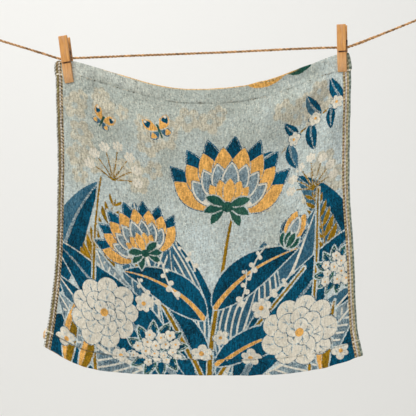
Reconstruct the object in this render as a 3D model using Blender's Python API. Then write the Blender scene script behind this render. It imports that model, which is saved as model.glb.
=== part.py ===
"""A gauze tea towel pegged by its two top corners to a twine line, with a loop at each end of the line.

Sizes and places are in metres. The origin is the middle of the left loop, +X runs along the line, +Z is up,
and the towel's face looks towards -Y.
"""
import math
from collections import namedtuple

import bmesh
import bpy
import numpy as np
from mathutils import Vector

GAP = 0.0003                     # left between pieces that touch

# The cloth, and its hems, which are folded to the back along the top and the bottom.
CLOTH_THICK = 0.0012
HEM_THICK = 0.0024
HEM_DEEP = 0.018
TOWEL_LONG = 0.325               # cut length, hems folded
PANELS_ACROSS = 40
PANELS_DOWN = 34                 # between the hems

# The outline of the hanging cloth, seen from the front. A row is a place on the edge: x, z.
TOP_EDGE = (
    (0.0764, -0.0284),
    (0.0790, -0.0270),
    (0.0830, -0.0272),
    (0.0965, -0.0281),
    (0.1198, -0.0342),
    (0.1622, -0.0470),
    (0.1834, -0.0531),
    (0.2046, -0.0571),
    (0.2310, -0.0579),
    (0.2576, -0.0567),
    (0.2735, -0.0545),
    (0.2894, -0.0508),
    (0.3106, -0.0449),
    (0.3318, -0.0370),
    (0.3570, -0.0270),
    (0.3720, -0.0212),
    (0.3866, -0.0190),
)
BOTTOM_EDGE = (
    (0.0641, -0.3299),
    (0.0725, -0.3348),
    (0.0880, -0.3428),
    (0.1050, -0.3502),
    (0.1198, -0.3538),
    (0.1452, -0.3582),
    (0.1728, -0.3603),
    (0.2046, -0.3602),
    (0.2470, -0.3600),
    (0.2788, -0.3606),
    (0.3106, -0.3607),
    (0.3424, -0.3561),
    (0.3688, -0.3498),
    (0.3837, -0.3457),
    (0.3959, -0.3418),
    (0.4026, -0.3398),
)
LEFT_EDGE = (
    (0.0764, -0.0284),
    (0.0756, -0.0320),
    (0.0756, -0.0365),
    (0.0766, -0.0437),
    (0.0774, -0.0755),
    (0.0786, -0.1200),
    (0.0784, -0.1645),
    (0.0775, -0.2140),
    (0.0763, -0.2387),
    (0.0735, -0.2705),
    (0.0691, -0.3020),
    (0.0641, -0.3299),
)
RIGHT_EDGE = (
    (0.3866, -0.0190),
    (0.3880, -0.0238),
    (0.3891, -0.0295),
    (0.3897, -0.0345),
    (0.3894, -0.0390),
    (0.3898, -0.0520),
    (0.3895, -0.0755),
    (0.3890, -0.1115),
    (0.3889, -0.1592),
    (0.3904, -0.1910),
    (0.3925, -0.2175),
    (0.3937, -0.2450),
    (0.3951, -0.2860),
    (0.3970, -0.3110),
    (0.4026, -0.3398),
)

# Soft folds. Each starts at x, z and runs down at an angle from straight down, in degrees, positive towards
# +X. It is `wide` to each side where it starts, grows by `spread` for each metre, stands `out` towards the
# viewer (a trough has a minus), rises over its first `lead`, and has died away at `reach`.
Fold = namedtuple("Fold", "x z angle wide spread out lead reach")
FOLDS = (
    Fold(0.092, -0.050, 53.0, 0.008, 0.10, 0.0080, 0.040, 0.160),
    Fold(0.096, -0.044, 68.0, 0.007, 0.07, -0.0055, 0.035, 0.130),
    Fold(0.090, -0.056, 33.0, 0.008, 0.10, -0.0055, 0.040, 0.200),
    Fold(0.090, -0.058, 14.0, 0.009, 0.09, 0.0055, 0.050, 0.260),
    Fold(0.088, -0.060, -4.0, 0.006, 0.05, -0.0030, 0.050, 0.230),
    Fold(0.378, -0.040, -56.0, 0.008, 0.10, 0.0070, 0.040, 0.150),
    Fold(0.374, -0.034, -72.0, 0.007, 0.07, -0.0050, 0.035, 0.120),
    Fold(0.379, -0.046, -36.0, 0.008, 0.10, -0.0055, 0.040, 0.190),
    Fold(0.380, -0.048, -15.0, 0.009, 0.09, 0.0055, 0.050, 0.270),
    Fold(0.381, -0.050, 3.0, 0.006, 0.05, -0.0030, 0.050, 0.210),
    Fold(0.233, -0.010, 0.0, 0.060, 0.10, 0.0080, 0.045, 0.190),
    Fold(0.128, -0.120, -5.0, 0.017, 0.05, 0.0070, 0.200, 0.900),
    Fold(0.178, -0.150, -3.0, 0.018, 0.05, -0.0080, 0.180, 0.900),
    Fold(0.238, -0.100, 2.0, 0.020, 0.04, 0.0070, 0.230, 0.900),
    Fold(0.296, -0.160, 3.0, 0.017, 0.05, -0.0075, 0.170, 0.900),
    Fold(0.350, -0.130, 5.0, 0.016, 0.05, 0.0065, 0.200, 0.900),
)

# The pegs. `notch` is where the line passes through, `lean` tips the top towards +X and `yaw` turns the
# peg about the vertical, both in degrees. `back_handle` is how far the back leg reaches above the notch.
Peg = namedtuple("Peg", "name notch lean yaw back_handle")
PEGS = (
    Peg("peg_left", Vector((0.0890, 0.0, -0.0250)), -8.0, -12.5, 0.0230),
    Peg("peg_right", Vector((0.3809, 0.0, -0.0132)), -1.2, -16.0, 0.0242),
)
PEG_WIDE = 0.0095
FRONT_HANDLE = 0.0242            # from the notch up to the front leg's handle end
PEG_JAW = 0.0260                 # from the notch down to the tip
LEG_THICK = 0.0042
HANDLE_THICK = 0.0024            # of a leg, at the handle end
HANDLE_BEVEL = 0.0105            # above the notch, where the inner face starts to slope away
TIP_THICK = 0.0022
TIP_BEVEL = 0.0100               # above the tip, where the outer face starts to slope in
NOTCH_RADIUS = 0.0024
CORNER = 0.0007                  # rounding at the handle end and the tip

# The spring: a coil across the peg between the legs, and an arm round each leg into its outer groove.
WIRE = 0.0011
WIRE_PROUD = 0.00015             # how far the middle of an arm lies outside the leg's face
COIL_RADIUS = 0.00205            # to the middle of the wire
COIL_HEIGHT = 0.0056             # above the notch
COIL_TURNS = 4                   # whole turns, besides the part turn to the arms
GROOVE_DROP = 0.0048             # outer groove, below the notch
ARM_SHORT = 0.0019               # from an arm's end to the leg's far side

# The flat part of the cloth round each peg, and where it is free to fold.
GRIP_RADIUS = 0.009
FREE_RADIUS = 0.030

# The twine, its loops and knots. The line leaves each loop at an angle from +X, in degrees.
TWINE = 0.0027
Loop = namedtuple("Loop", "name centre angle")
LOOP_LEFT = Loop("loop_left", Vector((0.0, 0.0, 0.0)), -17.0)
LOOP_RIGHT = Loop("loop_right", Vector((0.4770, 0.0, 0.0229)), 201.9)
LOOP_RADIUS = 0.0070
KNOT_START = 0.0078              # from the loop's middle
KNOT_WRAPS = 3
KNOT_RADIUS = 0.0034
KNOT_END = KNOT_START + KNOT_WRAPS * TWINE

# The line's route between its knots. A row is x, y, z.
LINE_ROUTE = (
    (0.0300, 0.0, -0.0092),
    (0.0480, 0.0, -0.0147),
    (0.0668, 0.0, -0.0205),
    (0.0768, 0.0005, -0.0237),
    (0.0837, 0.0010, -0.0251),
    (0.0890, 0.0, -0.0250),
    (0.0943, -0.0010, -0.0246),
    (0.1040, -0.0005, -0.0241),
    (0.1304, 0.0, -0.0230),
    (0.1622, 0.0, -0.0216),
    (0.1940, 0.0, -0.0205),
    (0.2258, 0.0, -0.0193),
    (0.2576, 0.0, -0.0181),
    (0.2894, 0.0, -0.0166),
    (0.3212, 0.0, -0.0150),
    (0.3480, 0.0, -0.0139),
    (0.3660, 0.0007, -0.0132),
    (0.3755, 0.0013, -0.0131),
    (0.3809, 0.0, -0.0132),
    (0.3863, -0.0013, -0.0128),
    (0.3954, -0.0006, -0.0097),
    (0.4102, 0.0, -0.0040),
    (0.4346, 0.0, 0.0058),
)
LINE_STEPS = 76


def clear_scene():
    for item in list(bpy.data.objects):
        bpy.data.objects.remove(item, do_unlink=True)


def material(name, colour, roughness, metallic=0.0):
    made = bpy.data.materials.new(name)
    made.use_nodes = True
    shader = made.node_tree.nodes["Principled BSDF"]
    shader.inputs["Base Color"].default_value = (*colour, 1.0)
    shader.inputs["Roughness"].default_value = roughness
    shader.inputs["Metallic"].default_value = metallic
    return made


def ease(share):
    """A smooth step from 0 to 1."""
    share = np.clip(share, 0.0, 1.0)
    return share * share * (3.0 - 2.0 * share)


def smooth(points, count):
    """Evenly counted points on one smooth curve through the given ones."""
    points = np.array(points, dtype=float)
    spans = np.sqrt(np.linalg.norm(np.diff(points, axis=0), axis=1))
    knots = np.concatenate(([0.0], np.cumsum(spans)))
    slopes = np.gradient(points, knots, axis=0)
    at = np.linspace(0.0, knots[-1], count)
    span = np.clip(np.searchsorted(knots, at, side="right") - 1, 0, len(knots) - 2)
    size = (knots[span + 1] - knots[span])[:, None]
    share = (at - knots[span])[:, None] / size
    start = (1.0 + 2.0 * share) * (1.0 - share) ** 2 * points[span]
    leave = share * (1.0 - share) ** 2 * size * slopes[span]
    end = share ** 2 * (3.0 - 2.0 * share) * points[span + 1]
    arrive = share ** 2 * (share - 1.0) * size * slopes[span + 1]
    return start + leave + end + arrive


def along(points, shares):
    """Points at the given shares of the length of the smooth curve through `points`."""
    fine = smooth(points, 500)
    steps = np.linalg.norm(np.diff(fine, axis=0), axis=1)
    length = np.concatenate(([0.0], np.cumsum(steps)))
    wanted = np.asarray(shares) * length[-1]
    return np.stack([np.interp(wanted, length, column) for column in fine.T], axis=1)


def front_view(across, down):
    """Where the cloth's shares across and down lie in the front view, as grids of x and z."""
    top = along(TOP_EDGE, across)[None, :, :]
    bottom = along(BOTTOM_EDGE, across)[None, :, :]
    left = along(LEFT_EDGE, down)[:, None, :]
    right = along(RIGHT_EDGE, down)[:, None, :]
    a = np.asarray(across)[None, :, None]
    d = np.asarray(down)[:, None, None]
    upper = (1.0 - a) * top[:, :1] + a * top[:, -1:]
    lower = (1.0 - a) * bottom[:, :1] + a * bottom[:, -1:]
    grid = (1.0 - d) * top + d * bottom + (1.0 - a) * left + a * right - (1.0 - d) * upper - d * lower
    return grid[..., 0], grid[..., 1]


def fold_depth(x, z):
    """How far the folds push the cloth, as y: out towards the viewer is negative."""
    y = np.zeros_like(x)
    for fold in FOLDS:
        turn = math.radians(fold.angle)
        run = (x - fold.x) * math.sin(turn) - (z - fold.z) * math.cos(turn)
        aside = (x - fold.x) * math.cos(turn) + (z - fold.z) * math.sin(turn)
        wide = fold.wide + fold.spread * np.maximum(run, 0.0)
        fade = ease(run / fold.lead) * (1.0 - ease(2.0 * run / fold.reach - 1.0))
        y -= fold.out * np.exp(-(aside / wide) ** 2) * fade
    return y


def cloth_depth(x, z):
    """The y of the cloth's front face: folded where it is free, flat in the jaws of each peg."""
    y = fold_depth(x, z)
    for peg in PEGS:
        lean = math.radians(peg.lean)
        below = np.clip(-(z - peg.notch.z), 0.0, PEG_JAW)
        middle = peg.notch.x - below * math.sin(lean)
        away = np.hypot(x - middle, z - (peg.notch.z - below))
        held = 1.0 - ease((away - GRIP_RADIUS) / (FREE_RADIUS - GRIP_RADIUS))
        yaw = math.radians(peg.yaw)
        jaw = peg.notch.y + (x - peg.notch.x) * math.tan(yaw) - HEM_THICK / 2.0 / math.cos(yaw)
        y = y * (1.0 - held) + jaw * held
    return y


def add_object(name, mesh, finish, parent=None):
    made = bpy.data.objects.new(name, mesh)
    made.data.materials.append(finish)
    bpy.context.collection.objects.link(made)
    made.parent = parent
    return made


def towel(finish):
    """One sheet on the front-view grid, thicker where the hems are folded back."""
    hem = HEM_DEEP / TOWEL_LONG
    edge = CLOTH_THICK / TOWEL_LONG
    upper = [0.0, hem / 2.0, hem - edge]
    middle = list(np.linspace(hem + edge, 1.0 - hem - edge, PANELS_DOWN + 1))
    down = upper + middle + [1.0 - share for share in reversed(upper)]
    across = np.linspace(0.0, 1.0, PANELS_ACROSS + 1)
    x, z = front_view(across, down)
    front = np.stack([x, cloth_depth(x, z), z], axis=2)
    normal = np.cross(np.gradient(front, axis=0), np.gradient(front, axis=1))
    normal /= np.linalg.norm(normal, axis=2, keepdims=True)
    normal *= np.sign(normal[..., 1:2])
    is_hem = np.array([share < hem or share > 1.0 - hem for share in down])
    thick = np.where(is_hem, HEM_THICK, CLOTH_THICK)[:, None, None]
    back = front + normal * thick

    body = bmesh.new()
    rows, columns = x.shape
    face = [[body.verts.new(front[row, column]) for column in range(columns)] for row in range(rows)]
    rear = [[body.verts.new(back[row, column]) for column in range(columns)] for row in range(rows)]
    for row in range(rows - 1):
        for column in range(columns - 1):
            near = (face[row][column], face[row + 1][column],
                    face[row + 1][column + 1], face[row][column + 1])
            far = (rear[row][column], rear[row][column + 1],
                   rear[row + 1][column + 1], rear[row + 1][column])
            body.faces.new(near)
            body.faces.new(far)
    for row in range(rows - 1):
        body.faces.new((face[row][0], rear[row][0], rear[row + 1][0], face[row + 1][0]))
        body.faces.new((face[row + 1][-1], rear[row + 1][-1], rear[row][-1], face[row][-1]))
    for column in range(columns - 1):
        body.faces.new((face[0][column + 1], rear[0][column + 1], rear[0][column], face[0][column]))
        body.faces.new((face[-1][column], rear[-1][column], rear[-1][column + 1], face[-1][column + 1]))
    bmesh.ops.recalc_face_normals(body, faces=body.faces)
    mesh = bpy.data.meshes.new("towel")
    body.to_mesh(mesh)
    body.free()
    mesh.shade_smooth()
    mesh.set_sharp_from_angle(angle=math.radians(50.0))
    return add_object("towel", mesh, finish)


def arc(centre_out, centre_up, radius, first, last, steps):
    """Points on an arc in a leg's side view; angles in degrees from straight out, up is positive."""
    turns = np.radians(np.linspace(first, last, steps + 1))
    return [(centre_out + radius * math.cos(turn), centre_up + radius * math.sin(turn)) for turn in turns]


def leg_outline(handle):
    """A leg's side view as (out from the peg's middle plane, up from the notch), going round once."""
    inner = HEM_THICK / 2.0 + GAP
    outer = inner + LEG_THICK
    points = [(outer - HANDLE_THICK + CORNER, handle), (outer - HANDLE_THICK, handle - CORNER)]
    points.append((inner, HANDLE_BEVEL))
    coil_groove = COIL_RADIUS + WIRE / 2.0 + GAP
    for height, radius in ((COIL_HEIGHT, coil_groove), (0.0, NOTCH_RADIUS)):
        open_angle = math.degrees(math.acos(inner / radius))
        points += arc(0.0, height, radius, open_angle, -open_angle, 8)
    points += [(inner, -PEG_JAW + CORNER), (inner + CORNER, -PEG_JAW)]
    points += [(inner + TIP_THICK - CORNER, -PEG_JAW), (inner + TIP_THICK, -PEG_JAW + CORNER)]
    points.append((outer, -PEG_JAW + TIP_BEVEL))
    wire_groove = WIRE / 2.0 + GAP
    middle = outer + WIRE_PROUD
    open_angle = math.degrees(math.acos(WIRE_PROUD / wire_groove))
    points += arc(middle, -GROOVE_DROP, wire_groove, 180.0 + open_angle, 180.0 - open_angle, 6)
    points += [(outer, handle - CORNER), (outer - CORNER, handle)]
    return points


def peg_leg(name, side, handle, finish, parent):
    """A leg cut from its side view; `side` is -1 in front of the cloth and 1 behind it."""
    body = bmesh.new()
    outline = [body.verts.new((-PEG_WIDE / 2.0, side * out, up)) for out, up in leg_outline(handle)]
    face = body.faces.new(outline)
    sweep = bmesh.ops.extrude_face_region(body, geom=[face])
    moved = [item for item in sweep["geom"] if isinstance(item, bmesh.types.BMVert)]
    bmesh.ops.translate(body, verts=moved, vec=(PEG_WIDE, 0.0, 0.0))
    bmesh.ops.recalc_face_normals(body, faces=body.faces)
    mesh = bpy.data.meshes.new(name)
    body.to_mesh(mesh)
    body.free()
    return add_object(name, mesh, finish, parent)


def rounded(points, radius, steps):
    """The path through `points` with each corner turned on an arc of about `radius`."""
    path = [points[0]]
    for before, corner, after in zip(points, points[1:], points[2:]):
        start = corner + (before - corner).normalized() * radius
        end = corner + (after - corner).normalized() * radius
        for step in range(steps + 1):
            share = step / steps
            path.append(start.lerp(corner, share).lerp(corner.lerp(end, share), share))
    path.append(points[-1])
    return path


def tube(name, path, diameter, finish, parent=None):
    curve = bpy.data.curves.new(name, "CURVE")
    curve.dimensions = "3D"
    spline = curve.splines.new("POLY")
    spline.points.add(len(path) - 1)
    for point, place in zip(spline.points, path):
        point.co = (*place, 1.0)
    curve.bevel_depth = diameter / 2.0
    curve.bevel_resolution = 2
    curve.use_fill_caps = True
    return add_object(name, curve, finish, parent)


def spring_path():
    """The wire from the end of the back arm, round the coil, to the end of the front arm."""
    inner = HEM_THICK / 2.0 + GAP
    depth = inner + LEG_THICK + WIRE_PROUD
    side = PEG_WIDE / 2.0 + GAP + WIRE / 2.0
    reach = math.hypot(depth, COIL_HEIGHT + GROOVE_DROP)
    heading = math.atan2(depth, -(COIL_HEIGHT + GROOVE_DROP))
    leave = heading - math.acos(COIL_RADIUS / reach)
    steps = 12 * COIL_TURNS + 5
    front_arm = [Vector((side, -depth, -GROOVE_DROP)),
                 Vector((-PEG_WIDE / 2.0 + ARM_SHORT, -depth, -GROOVE_DROP))]
    back_arm = [Vector((-point.x, -point.y, point.z)) for point in reversed(front_arm)]
    turns = np.linspace(-leave, leave + 2.0 * math.pi * COIL_TURNS, steps + 1)
    coil = []
    for step, turn in enumerate(turns):
        share = 2.0 * step / steps - 1.0
        coil.append(Vector((side * share, -COIL_RADIUS * math.sin(turn),
                            COIL_HEIGHT + COIL_RADIUS * math.cos(turn))))
    start = rounded(back_arm + [coil[0]], WIRE, 3)
    end = rounded([coil[-1]] + front_arm, WIRE, 3)
    return start + coil[1:-1] + end


def peg(row, wood, wire):
    holder = bpy.data.objects.new(row.name, None)
    bpy.context.collection.objects.link(holder)
    holder.location = row.notch
    holder.rotation_euler = (0.0, math.radians(row.lean), math.radians(row.yaw))
    peg_leg(row.name + "_front", -1.0, FRONT_HANDLE, wood, holder)
    peg_leg(row.name + "_back", 1.0, row.back_handle, wood, holder)
    tube(row.name + "_spring", spring_path(), WIRE, wire, holder)


def place_on(loop, run, aside):
    """A place in the loop's plane: `run` from its middle towards the line, `aside` across that."""
    turn = math.radians(loop.angle)
    ahead = Vector((math.cos(turn), 0.0, math.sin(turn)))
    across = Vector((-math.sin(turn), 0.0, math.cos(turn)))
    return loop.centre + ahead * run + across * aside


def end_loop(loop, finish):
    """The loop and its knot, three wraps of the twine, as one body."""
    enter = TWINE * 0.6
    half = [(KNOT_START + TWINE, enter), (KNOT_START - TWINE * 0.4, enter + TWINE * 0.2)]
    for degrees in (52.0, 90.0, 126.0, 160.0):
        turn = math.radians(degrees)
        half.append((LOOP_RADIUS * math.cos(turn), LOOP_RADIUS * math.sin(turn)))
    other = [(run, -aside) for run, aside in reversed(half)]
    path = [place_on(loop, run, aside) for run, aside in smooth(half + other, 30)]
    ring = tube(loop.name, path, TWINE, finish)

    sides = 12
    steps = 4 * KNOT_WRAPS
    wraps = bmesh.new()
    rings = []
    for step in range(steps + 1):
        share = step / steps
        swell = abs(math.sin(math.pi * KNOT_WRAPS * share))
        radius = KNOT_RADIUS - TWINE * 0.22 * (1.0 - swell)
        run = KNOT_START + (KNOT_END - KNOT_START) * share
        middle = place_on(loop, run, 0.0)
        across = place_on(loop, run, 1.0) - middle
        around = [2.0 * math.pi * side / sides for side in range(sides)]
        rings.append([wraps.verts.new(middle + across * radius * math.cos(turn)
                                      + Vector((0.0, radius * math.sin(turn), 0.0))) for turn in around])
    for near, far in zip(rings, rings[1:]):
        for side in range(sides):
            after = (side + 1) % sides
            wraps.faces.new((near[side], near[after], far[after], far[side]))
    wraps.faces.new(rings[0])
    wraps.faces.new(rings[-1])
    bmesh.ops.recalc_face_normals(wraps, faces=wraps.faces)
    mesh = bpy.data.meshes.new(loop.name + "_knot")
    wraps.to_mesh(mesh)
    wraps.free()

    solid = bpy.data.meshes.new_from_object(ring)
    bpy.data.objects.remove(ring, do_unlink=True)
    knotted = add_object(loop.name, solid, finish)
    knot = add_object(loop.name + "_knot", mesh, finish)
    knot.hide_render = True
    knot.display_type = "WIRE"
    join = knotted.modifiers.new("knot", "BOOLEAN")
    join.operation = "UNION"
    join.solver = "EXACT"
    join.object = knot
    return knotted


def line(finish):
    """The twine between the knots."""
    start = place_on(LOOP_LEFT, KNOT_END + GAP, 0.0)
    end = place_on(LOOP_RIGHT, KNOT_END + GAP, 0.0)
    route = [tuple(start), *LINE_ROUTE, tuple(end)]
    return tube("line", along(route, np.linspace(0.0, 1.0, LINE_STEPS + 1)), TWINE, finish)


clear_scene()
gauze = material("gauze", (0.48, 0.52, 0.50), 0.9)
pale_wood = material("pale_wood", (0.60, 0.31, 0.11), 0.6)
steel_wire = material("steel_wire", (0.25, 0.17, 0.12), 0.4, 1.0)
jute = material("jute", (0.38, 0.24, 0.13), 0.9)

towel(gauze)
for peg_row in PEGS:
    peg(peg_row, pale_wood, steel_wire)
for loop_row in (LOOP_LEFT, LOOP_RIGHT):
    end_loop(loop_row, jute)
line(jute)
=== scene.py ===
"""The looks of a jacquard gauze tea towel, pegged by its two top corners to a jute twine line.

Metres, in the same frame as the solids: +X along the line, +Z up, the towel's face towards -Y.
"""
import math
from collections import namedtuple

import bpy
import numpy as np
from mathutils import Matrix, Vector


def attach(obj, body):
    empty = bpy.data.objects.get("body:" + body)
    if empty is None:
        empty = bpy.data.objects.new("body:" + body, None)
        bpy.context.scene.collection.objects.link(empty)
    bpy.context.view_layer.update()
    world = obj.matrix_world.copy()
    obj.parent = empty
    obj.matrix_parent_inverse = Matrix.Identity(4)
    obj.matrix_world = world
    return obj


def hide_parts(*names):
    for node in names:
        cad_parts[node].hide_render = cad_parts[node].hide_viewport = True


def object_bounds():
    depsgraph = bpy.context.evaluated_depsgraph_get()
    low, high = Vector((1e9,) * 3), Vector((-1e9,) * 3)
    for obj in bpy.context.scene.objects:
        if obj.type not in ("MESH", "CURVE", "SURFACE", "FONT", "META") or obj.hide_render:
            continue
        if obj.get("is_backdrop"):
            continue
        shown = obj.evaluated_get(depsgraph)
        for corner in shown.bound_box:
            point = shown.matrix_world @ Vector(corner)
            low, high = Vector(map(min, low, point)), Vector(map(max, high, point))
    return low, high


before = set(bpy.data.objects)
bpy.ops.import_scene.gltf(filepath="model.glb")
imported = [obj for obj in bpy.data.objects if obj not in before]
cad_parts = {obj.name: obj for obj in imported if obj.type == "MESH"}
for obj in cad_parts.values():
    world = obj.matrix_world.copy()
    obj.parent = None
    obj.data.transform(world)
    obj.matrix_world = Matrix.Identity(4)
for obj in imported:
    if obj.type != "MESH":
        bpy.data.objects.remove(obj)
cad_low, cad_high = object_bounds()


# The room: a plain pale wall and floor in one sweep of matt paint, well behind the towel, in soft daylight
# from the upper left. It isn't part of the object. The camera looks straight at the wall.
VIEW_CENTRE = Vector((0.2385, 0.0, -0.1832))
VIEW_DISTANCE = 1.30
VIEW_WIDE = 0.441                # what the picture takes in at the cloth, side to side
WALL_BEHIND = 2.30
FLOOR_BELOW = 1.25
SWEEP_RADIUS = 0.30
SWEEP_STEPS = 12
ROOM_HALF = 3.2
ROOM_FRONT = 3.0


def linear(colour):
    """An sRGB hex colour as the linear numbers that a shader takes."""
    parts = [int(colour[start:start + 2], 16) / 255.0 for start in (1, 3, 5)]
    return tuple(c / 12.92 if c <= 0.04045 else ((c + 0.055) / 1.055) ** 2.4 for c in parts) + (1.0,)


def add(tree, kind, *inputs, out=None, **settings):
    """Adds one node with its settings. Its inputs, in order or by name in a dict, are each fed by an output or
    set to a value. Gives back the output named `out`, or else the first that is open with these settings."""
    made = tree.nodes.new("ShaderNode" + kind)
    for name, value in settings.items():
        setattr(made, name, value)
    sockets = [socket for socket in made.inputs if socket.enabled]
    if inputs and isinstance(inputs[0], dict):
        sockets, inputs = [made.inputs[name] for name in inputs[0]], inputs[0].values()
    for socket, value in zip(sockets, inputs):
        if isinstance(value, bpy.types.NodeSocket):
            tree.links.new(value, socket)
        else:
            socket.default_value = linear(value) if isinstance(value, str) else value
    return made.outputs[out] if out else next((socket for socket in made.outputs if socket.enabled), None)


def new_material(name):
    """A material with an empty node tree."""
    made = bpy.data.materials.new(name)
    made.use_nodes = True
    made.node_tree.nodes.clear()
    return made, made.node_tree


def new_piece(name, vertices, faces, material):
    """A smooth mesh object from its vertices and faces."""
    mesh = bpy.data.meshes.new(name)
    mesh.from_pydata([tuple(place) for place in vertices], [], faces)
    mesh.materials.append(material)
    mesh.shade_smooth()
    made = bpy.data.objects.new(name, mesh)
    bpy.context.collection.objects.link(made)
    return made


# Matt wall paint: an even off-white that gives no gloss.
wall_paint, tree = new_material("matt_wall_paint")
add(tree, "OutputMaterial", add(tree, "BsdfPrincipled", {
    "Base Color": "#EEEDEA", "Roughness": 0.95, "Specular IOR Level": 0.1}))

profile = [(-ROOM_FRONT, -FLOOR_BELOW)]
for step in range(SWEEP_STEPS + 1):
    turn = math.radians(90.0 * step / SWEEP_STEPS)
    profile.append((WALL_BEHIND - SWEEP_RADIUS + SWEEP_RADIUS * math.sin(turn),
                    -FLOOR_BELOW + SWEEP_RADIUS * (1.0 - math.cos(turn))))
profile.append((WALL_BEHIND, ROOM_HALF))
sides = (VIEW_CENTRE.x - ROOM_HALF, VIEW_CENTRE.x + ROOM_HALF)
room = new_piece("room", [(x, y, z) for y, z in profile for x in sides],
                 [(2 * row, 2 * row + 1, 2 * row + 3, 2 * row + 2) for row in range(len(profile) - 1)],
                 wall_paint)
room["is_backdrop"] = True

# A row is a soft lamp: name, place, what it is turned to, width, power in watts, colour. The last one lights
# the wall alone.
LAMPS = (
    ("window_left", (-0.85, -1.20, 1.25), VIEW_CENTRE, 1.00, 28.5, "#FFFCF7"),
    ("fill_right", (1.60, -1.45, 0.10), VIEW_CENTRE, 1.40, 6.5, "#F6F8FF"),
    ("front_soft", (0.24, -2.20, 0.20), VIEW_CENTRE, 1.60, 8.0, "#FFFFFF"),
    ("wall_wash", (-0.45, 0.35, 1.50), (0.35, WALL_BEHIND, 0.00), 1.30, 22.0, "#FFFFFF"),
)
for name, place, aim, wide, power, colour in LAMPS:
    lamp = bpy.data.lights.new(name, "AREA")
    lamp.shape = "SQUARE"
    lamp.size = wide
    lamp.energy = power
    lamp.color = linear(colour)[:3]
    holder = bpy.data.objects.new(name, lamp)
    holder.location = place
    holder.rotation_euler = (Vector(aim) - Vector(place)).to_track_quat("-Z", "Y").to_euler()
    bpy.context.collection.objects.link(holder)

sky = bpy.data.worlds.new("soft_daylight")
sky.use_nodes = True
sky.node_tree.nodes["Background"].inputs["Color"].default_value = linear("#F4F6F7")
sky.node_tree.nodes["Background"].inputs["Strength"].default_value = 0.50
bpy.context.scene.world = sky
bpy.context.scene.view_settings.view_transform = "Standard"

lens = bpy.data.cameras.new("camera")
lens.angle = 2.0 * math.atan(VIEW_WIDE / 2.0 / VIEW_DISTANCE)
camera = bpy.data.objects.new("camera", lens)
camera.location = VIEW_CENTRE - Vector((0.0, VIEW_DISTANCE, 0.0))
camera.rotation_euler = (math.radians(90.0), 0.0, 0.0)
bpy.context.collection.objects.link(camera)
bpy.context.scene.camera = camera


# The line: jute twine of three strands laid together, hairy and uneven, about 0.45 m of it between two
# knots. Each end is turned back into a small loop and held by three wraps of its own tail.
TWINE = 0.0027
STRANDS = 3
LAY_LENGTH = 0.0118              # one turn of a strand
STRAND_OUT = 0.262               # from the twine's middle to a strand's, as a share of the twine
STRAND_RADIUS = 0.222            # the same for a strand's radius
UNEVEN = 0.30
SWELL_AT = 0.4020                # where the twine is loose and thicker, just right of the right peg
SWELL_HALF = 0.0150
SWELL = 0.25
HAIR_LENGTHS = (0.0009, 0.0030)
HAIR_RADII = (0.00006, 0.00002)  # at its foot and its tip
LOOP_RADIUS = 0.0070
KNOT_START = 0.0078
KNOT_WRAPS = 3
KNOT_END = KNOT_START + KNOT_WRAPS * TWINE
WRAP_RADIUS = TWINE * 0.76
WRAP_PITCH = TWINE * 0.84
WRAP_STEPS = 12
GAP = 0.0003                     # left between pieces that touch
Loop = namedtuple("Loop", "name centre angle")
LOOP_LEFT = Loop("loop_left", Vector((0.0, 0.0, 0.0)), -17.0)
LOOP_RIGHT = Loop("loop_right", Vector((0.4770, 0.0, 0.0229)), 201.9)

# The line's route between its knots, as in the solids: places as x, y, z.
LINE_ROUTE = (
    (0.0300, 0.0, -0.0092), (0.0480, 0.0, -0.0147), (0.0668, 0.0, -0.0205), (0.0768, 0.0005, -0.0237),
    (0.0837, 0.0010, -0.0251), (0.0890, 0.0, -0.0250), (0.0943, -0.0010, -0.0246), (0.1040, -0.0005, -0.0241),
    (0.1304, 0.0, -0.0230), (0.1622, 0.0, -0.0216), (0.1940, 0.0, -0.0205), (0.2258, 0.0, -0.0193),
    (0.2576, 0.0, -0.0181), (0.2894, 0.0, -0.0166), (0.3212, 0.0, -0.0150), (0.3480, 0.0, -0.0139),
    (0.3660, 0.0007, -0.0132), (0.3755, 0.0013, -0.0131), (0.3809, 0.0, -0.0132), (0.3863, -0.0013, -0.0128),
    (0.3954, -0.0006, -0.0097), (0.4102, 0.0, -0.0040), (0.4346, 0.0, 0.0058),
)


def unit(vectors):
    return vectors / np.linalg.norm(vectors, axis=-1, keepdims=True)


def smooth(points, count):
    """Evenly counted points on one smooth curve through the given ones."""
    points = np.array(points, dtype=float)
    spans = np.sqrt(np.linalg.norm(np.diff(points, axis=0), axis=1))
    knots = np.concatenate(([0.0], np.cumsum(spans)))
    slopes = np.gradient(points, knots, axis=0)
    at = np.linspace(0.0, knots[-1], count)
    span = np.clip(np.searchsorted(knots, at, side="right") - 1, 0, len(knots) - 2)
    size = (knots[span + 1] - knots[span])[:, None]
    share = (at - knots[span])[:, None] / size
    start = (1.0 + 2.0 * share) * (1.0 - share) ** 2 * points[span]
    leave = share * (1.0 - share) ** 2 * size * slopes[span]
    end = share ** 2 * (3.0 - 2.0 * share) * points[span + 1]
    arrive = share ** 2 * (share - 1.0) * size * slopes[span + 1]
    return start + leave + end + arrive


def along(points, shares):
    """Points at the given shares of the length of the smooth curve through `points`."""
    fine = smooth(points, 500)
    steps = np.linalg.norm(np.diff(fine, axis=0), axis=1)
    length = np.concatenate(([0.0], np.cumsum(steps)))
    wanted = np.asarray(shares) * length[-1]
    return np.stack([np.interp(wanted, length, column) for column in fine.T], axis=1)


def path_length(path):
    return float(np.linalg.norm(np.diff(np.asarray(path), axis=0), axis=1).sum())


def place_on(loop, run, aside):
    """A place in the loop's plane: `run` from its middle towards the line, `aside` across that."""
    turn = math.radians(loop.angle)
    ahead = Vector((math.cos(turn), 0.0, math.sin(turn)))
    across_it = Vector((-math.sin(turn), 0.0, math.cos(turn)))
    return loop.centre + ahead * run + across_it * aside


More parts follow.
